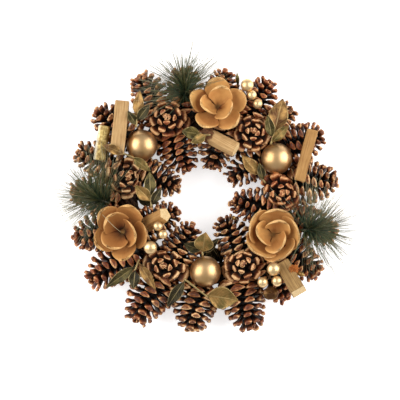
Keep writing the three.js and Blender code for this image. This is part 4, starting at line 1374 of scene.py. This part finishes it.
def needle(batch, base, direction, length, bend, draw):
    side = unit(np.cross(direction, UP) + 1e-6)
    other = np.cross(side, direction)
    t = np.linspace(0, 1, NEEDLE_STEPS)
    path = base + length * t[:, None] * direction + bend * length * (t**2)[:, None] * other
    points = sections(path, NEEDLE_RADIUS * (1 - 0.7 * t), side, other, 3)
    batch.grid(points, along=(t * (0.85 + 0.3 * draw.random()))[:, None], tone=draw.random())


def spray(node, at, aim):
    draw = random.Random(node)
    z = unit(aim)
    x = unit(UP - z * UP.dot(z))
    turn = np.stack([x, np.cross(z, x), z], axis=1)
    position = standing(node, at, z, STEM_FOOT)
    tree = neighbours_tree(node)
    batch = Batch()
    t = np.linspace(0, 1, 10)
    path = position + z * (-STEM_FOOT + (STEM_LENGTH + STEM_FOOT) * t)[:, None]
    tube(batch, path, STEM_RADIUS - STEM_TAPER * t, 10, along=0.1, tone=0.8)
    for _ in range(NEEDLES_EACH):
        share = draw.random()
        around = FULL_TURN * draw.random()
        jitter = FAN_JITTER if draw.random() < 0.6 else LOOSE_JITTER
        lean = math.radians(FIRST_LEAN + LEAN_GAIN * share + jitter * (draw.random() - 0.55))
        length = NEEDLE_LENGTH * (0.7 + 0.52 * draw.random() ** 2) - TIP_SHORTENING * share
        flat = np.array([FLATTENING * math.cos(around), math.sin(around), 0.0])
        aimed_at = flat * math.cos(lean) + UP * math.sin(lean)
        length *= np.linalg.norm(aimed_at)
        radius = 0.8 * (STEM_RADIUS - STEM_TAPER * share)
        foot = np.array([radius * math.cos(around), radius * math.sin(around), STEM_LENGTH * share])
        base = turn @ foot + position
        bend = 0.24 * (draw.random() - 0.5)
        free, direction = raised_clear(tree, base, turn @ unit(aimed_at), length)
        if direction[2] > 0:
            free = min(free, (HIGHEST_NEEDLE - base[2]) / direction[2])
        free = beside_flowers(base, direction, free)
        if free >= SHORTEST_NEEDLE * length and base[2] + direction[2] * free >= LOWEST_NEEDLE:
            needle(batch, base, direction, free, bend, draw)
    batch.finish(node + "_fine", NEEDLE, "needle", node)


vine_ring()
for where in BALLS:
    gold_ball(where)
for cone in all_cones():
    pine_cone(cone)
for entry in STICKS:
    stick(*entry)
for entry in SPRIGS:
    sprig(*entry)
for entry in FLOWERS:
    flower(*entry)
for entry in BERRIES:
    berry_pick(*entry)
for entry in SPRAYS:
    spray(*entry)
undergrowth()
buds_and_dry_leaf()
stray_fibre()
tuft()


# Floor, light and camera, in metres

FLOOR_RADIUS = 4.0
FLOOR_DROP = 0.0002
FLOOR_SIDES = 96
FLOOR_GLOW = 0.64  # lifts the soft shadows on the floor, as on a lit table
ROOM_LIGHT = 0.44
SOFTBOX_SIZE = (1.5, 1.7)
SOFTBOX_POWER = 29
SOFTBOX_TARGET = (0, 0, 0.04)


def floor():
    mesh = bpy.data.meshes.new("floor")
    angle = circle(FLOOR_SIDES).tolist()
    points = [(FLOOR_RADIUS * math.cos(a), FLOOR_RADIUS * math.sin(a), -FLOOR_DROP) for a in angle]
    mesh.from_pydata(points, [], [list(range(FLOOR_SIDES))])
    f = Finish("floor_white")
    white = f.ramp(f.noise(2, 2), (0, 240, 240, 240), (1, 244, 244, 244))
    f.set(Base_Color=white, Roughness=0.9, Emission_Color=white, Emission_Strength=FLOOR_GLOW)
    mesh.materials.append(f.material)
    in_scene("floor", mesh)


def softbox(name, location):
    light = bpy.data.lights.new(name, "AREA")
    light.shape = "RECTANGLE"
    light.size, light.size_y = SOFTBOX_SIZE
    light.energy = SOFTBOX_POWER
    lamp = in_scene(name, light)
    lamp.location = location
    lamp.rotation_euler = (Vector(SOFTBOX_TARGET) - Vector(location)).to_track_quat("-Z", "Y").to_euler()


def studio():
    world = bpy.data.worlds.new("studio")
    bpy.context.scene.world = world
    world.use_nodes = True
    background = world.node_tree.nodes["Background"]
    background.inputs["Color"].default_value = (1, 1, 1, 1)
    background.inputs["Strength"].default_value = ROOM_LIGHT
    softbox("softbox_left", (-1.2, 0.25, 0.72))
    softbox("softbox_right", (1.2, 0.25, 0.72))
    bpy.context.scene.view_settings.view_transform = "Standard"


CAMERA_DISTANCE = 2.2
VIEW_WIDTH = 0.448
FACE_HEIGHT = 0.04
SENSOR = 36.0
# What the middle of the photograph shows, from the wreath's middle, in millimetres.
AIM_POINT = (-5.6, -3.4)


def camera():
    data = bpy.data.cameras.new("camera")
    data.sensor_width = SENSOR
    data.lens = SENSOR * CAMERA_DISTANCE / VIEW_WIDTH
    data.clip_end = 20
    view = in_scene("camera", data)
    view.location = (*on_wreath(*AIM_POINT) * MM, FACE_HEIGHT + CAMERA_DISTANCE)
    bpy.context.scene.camera = view


floor()
studio()
camera()
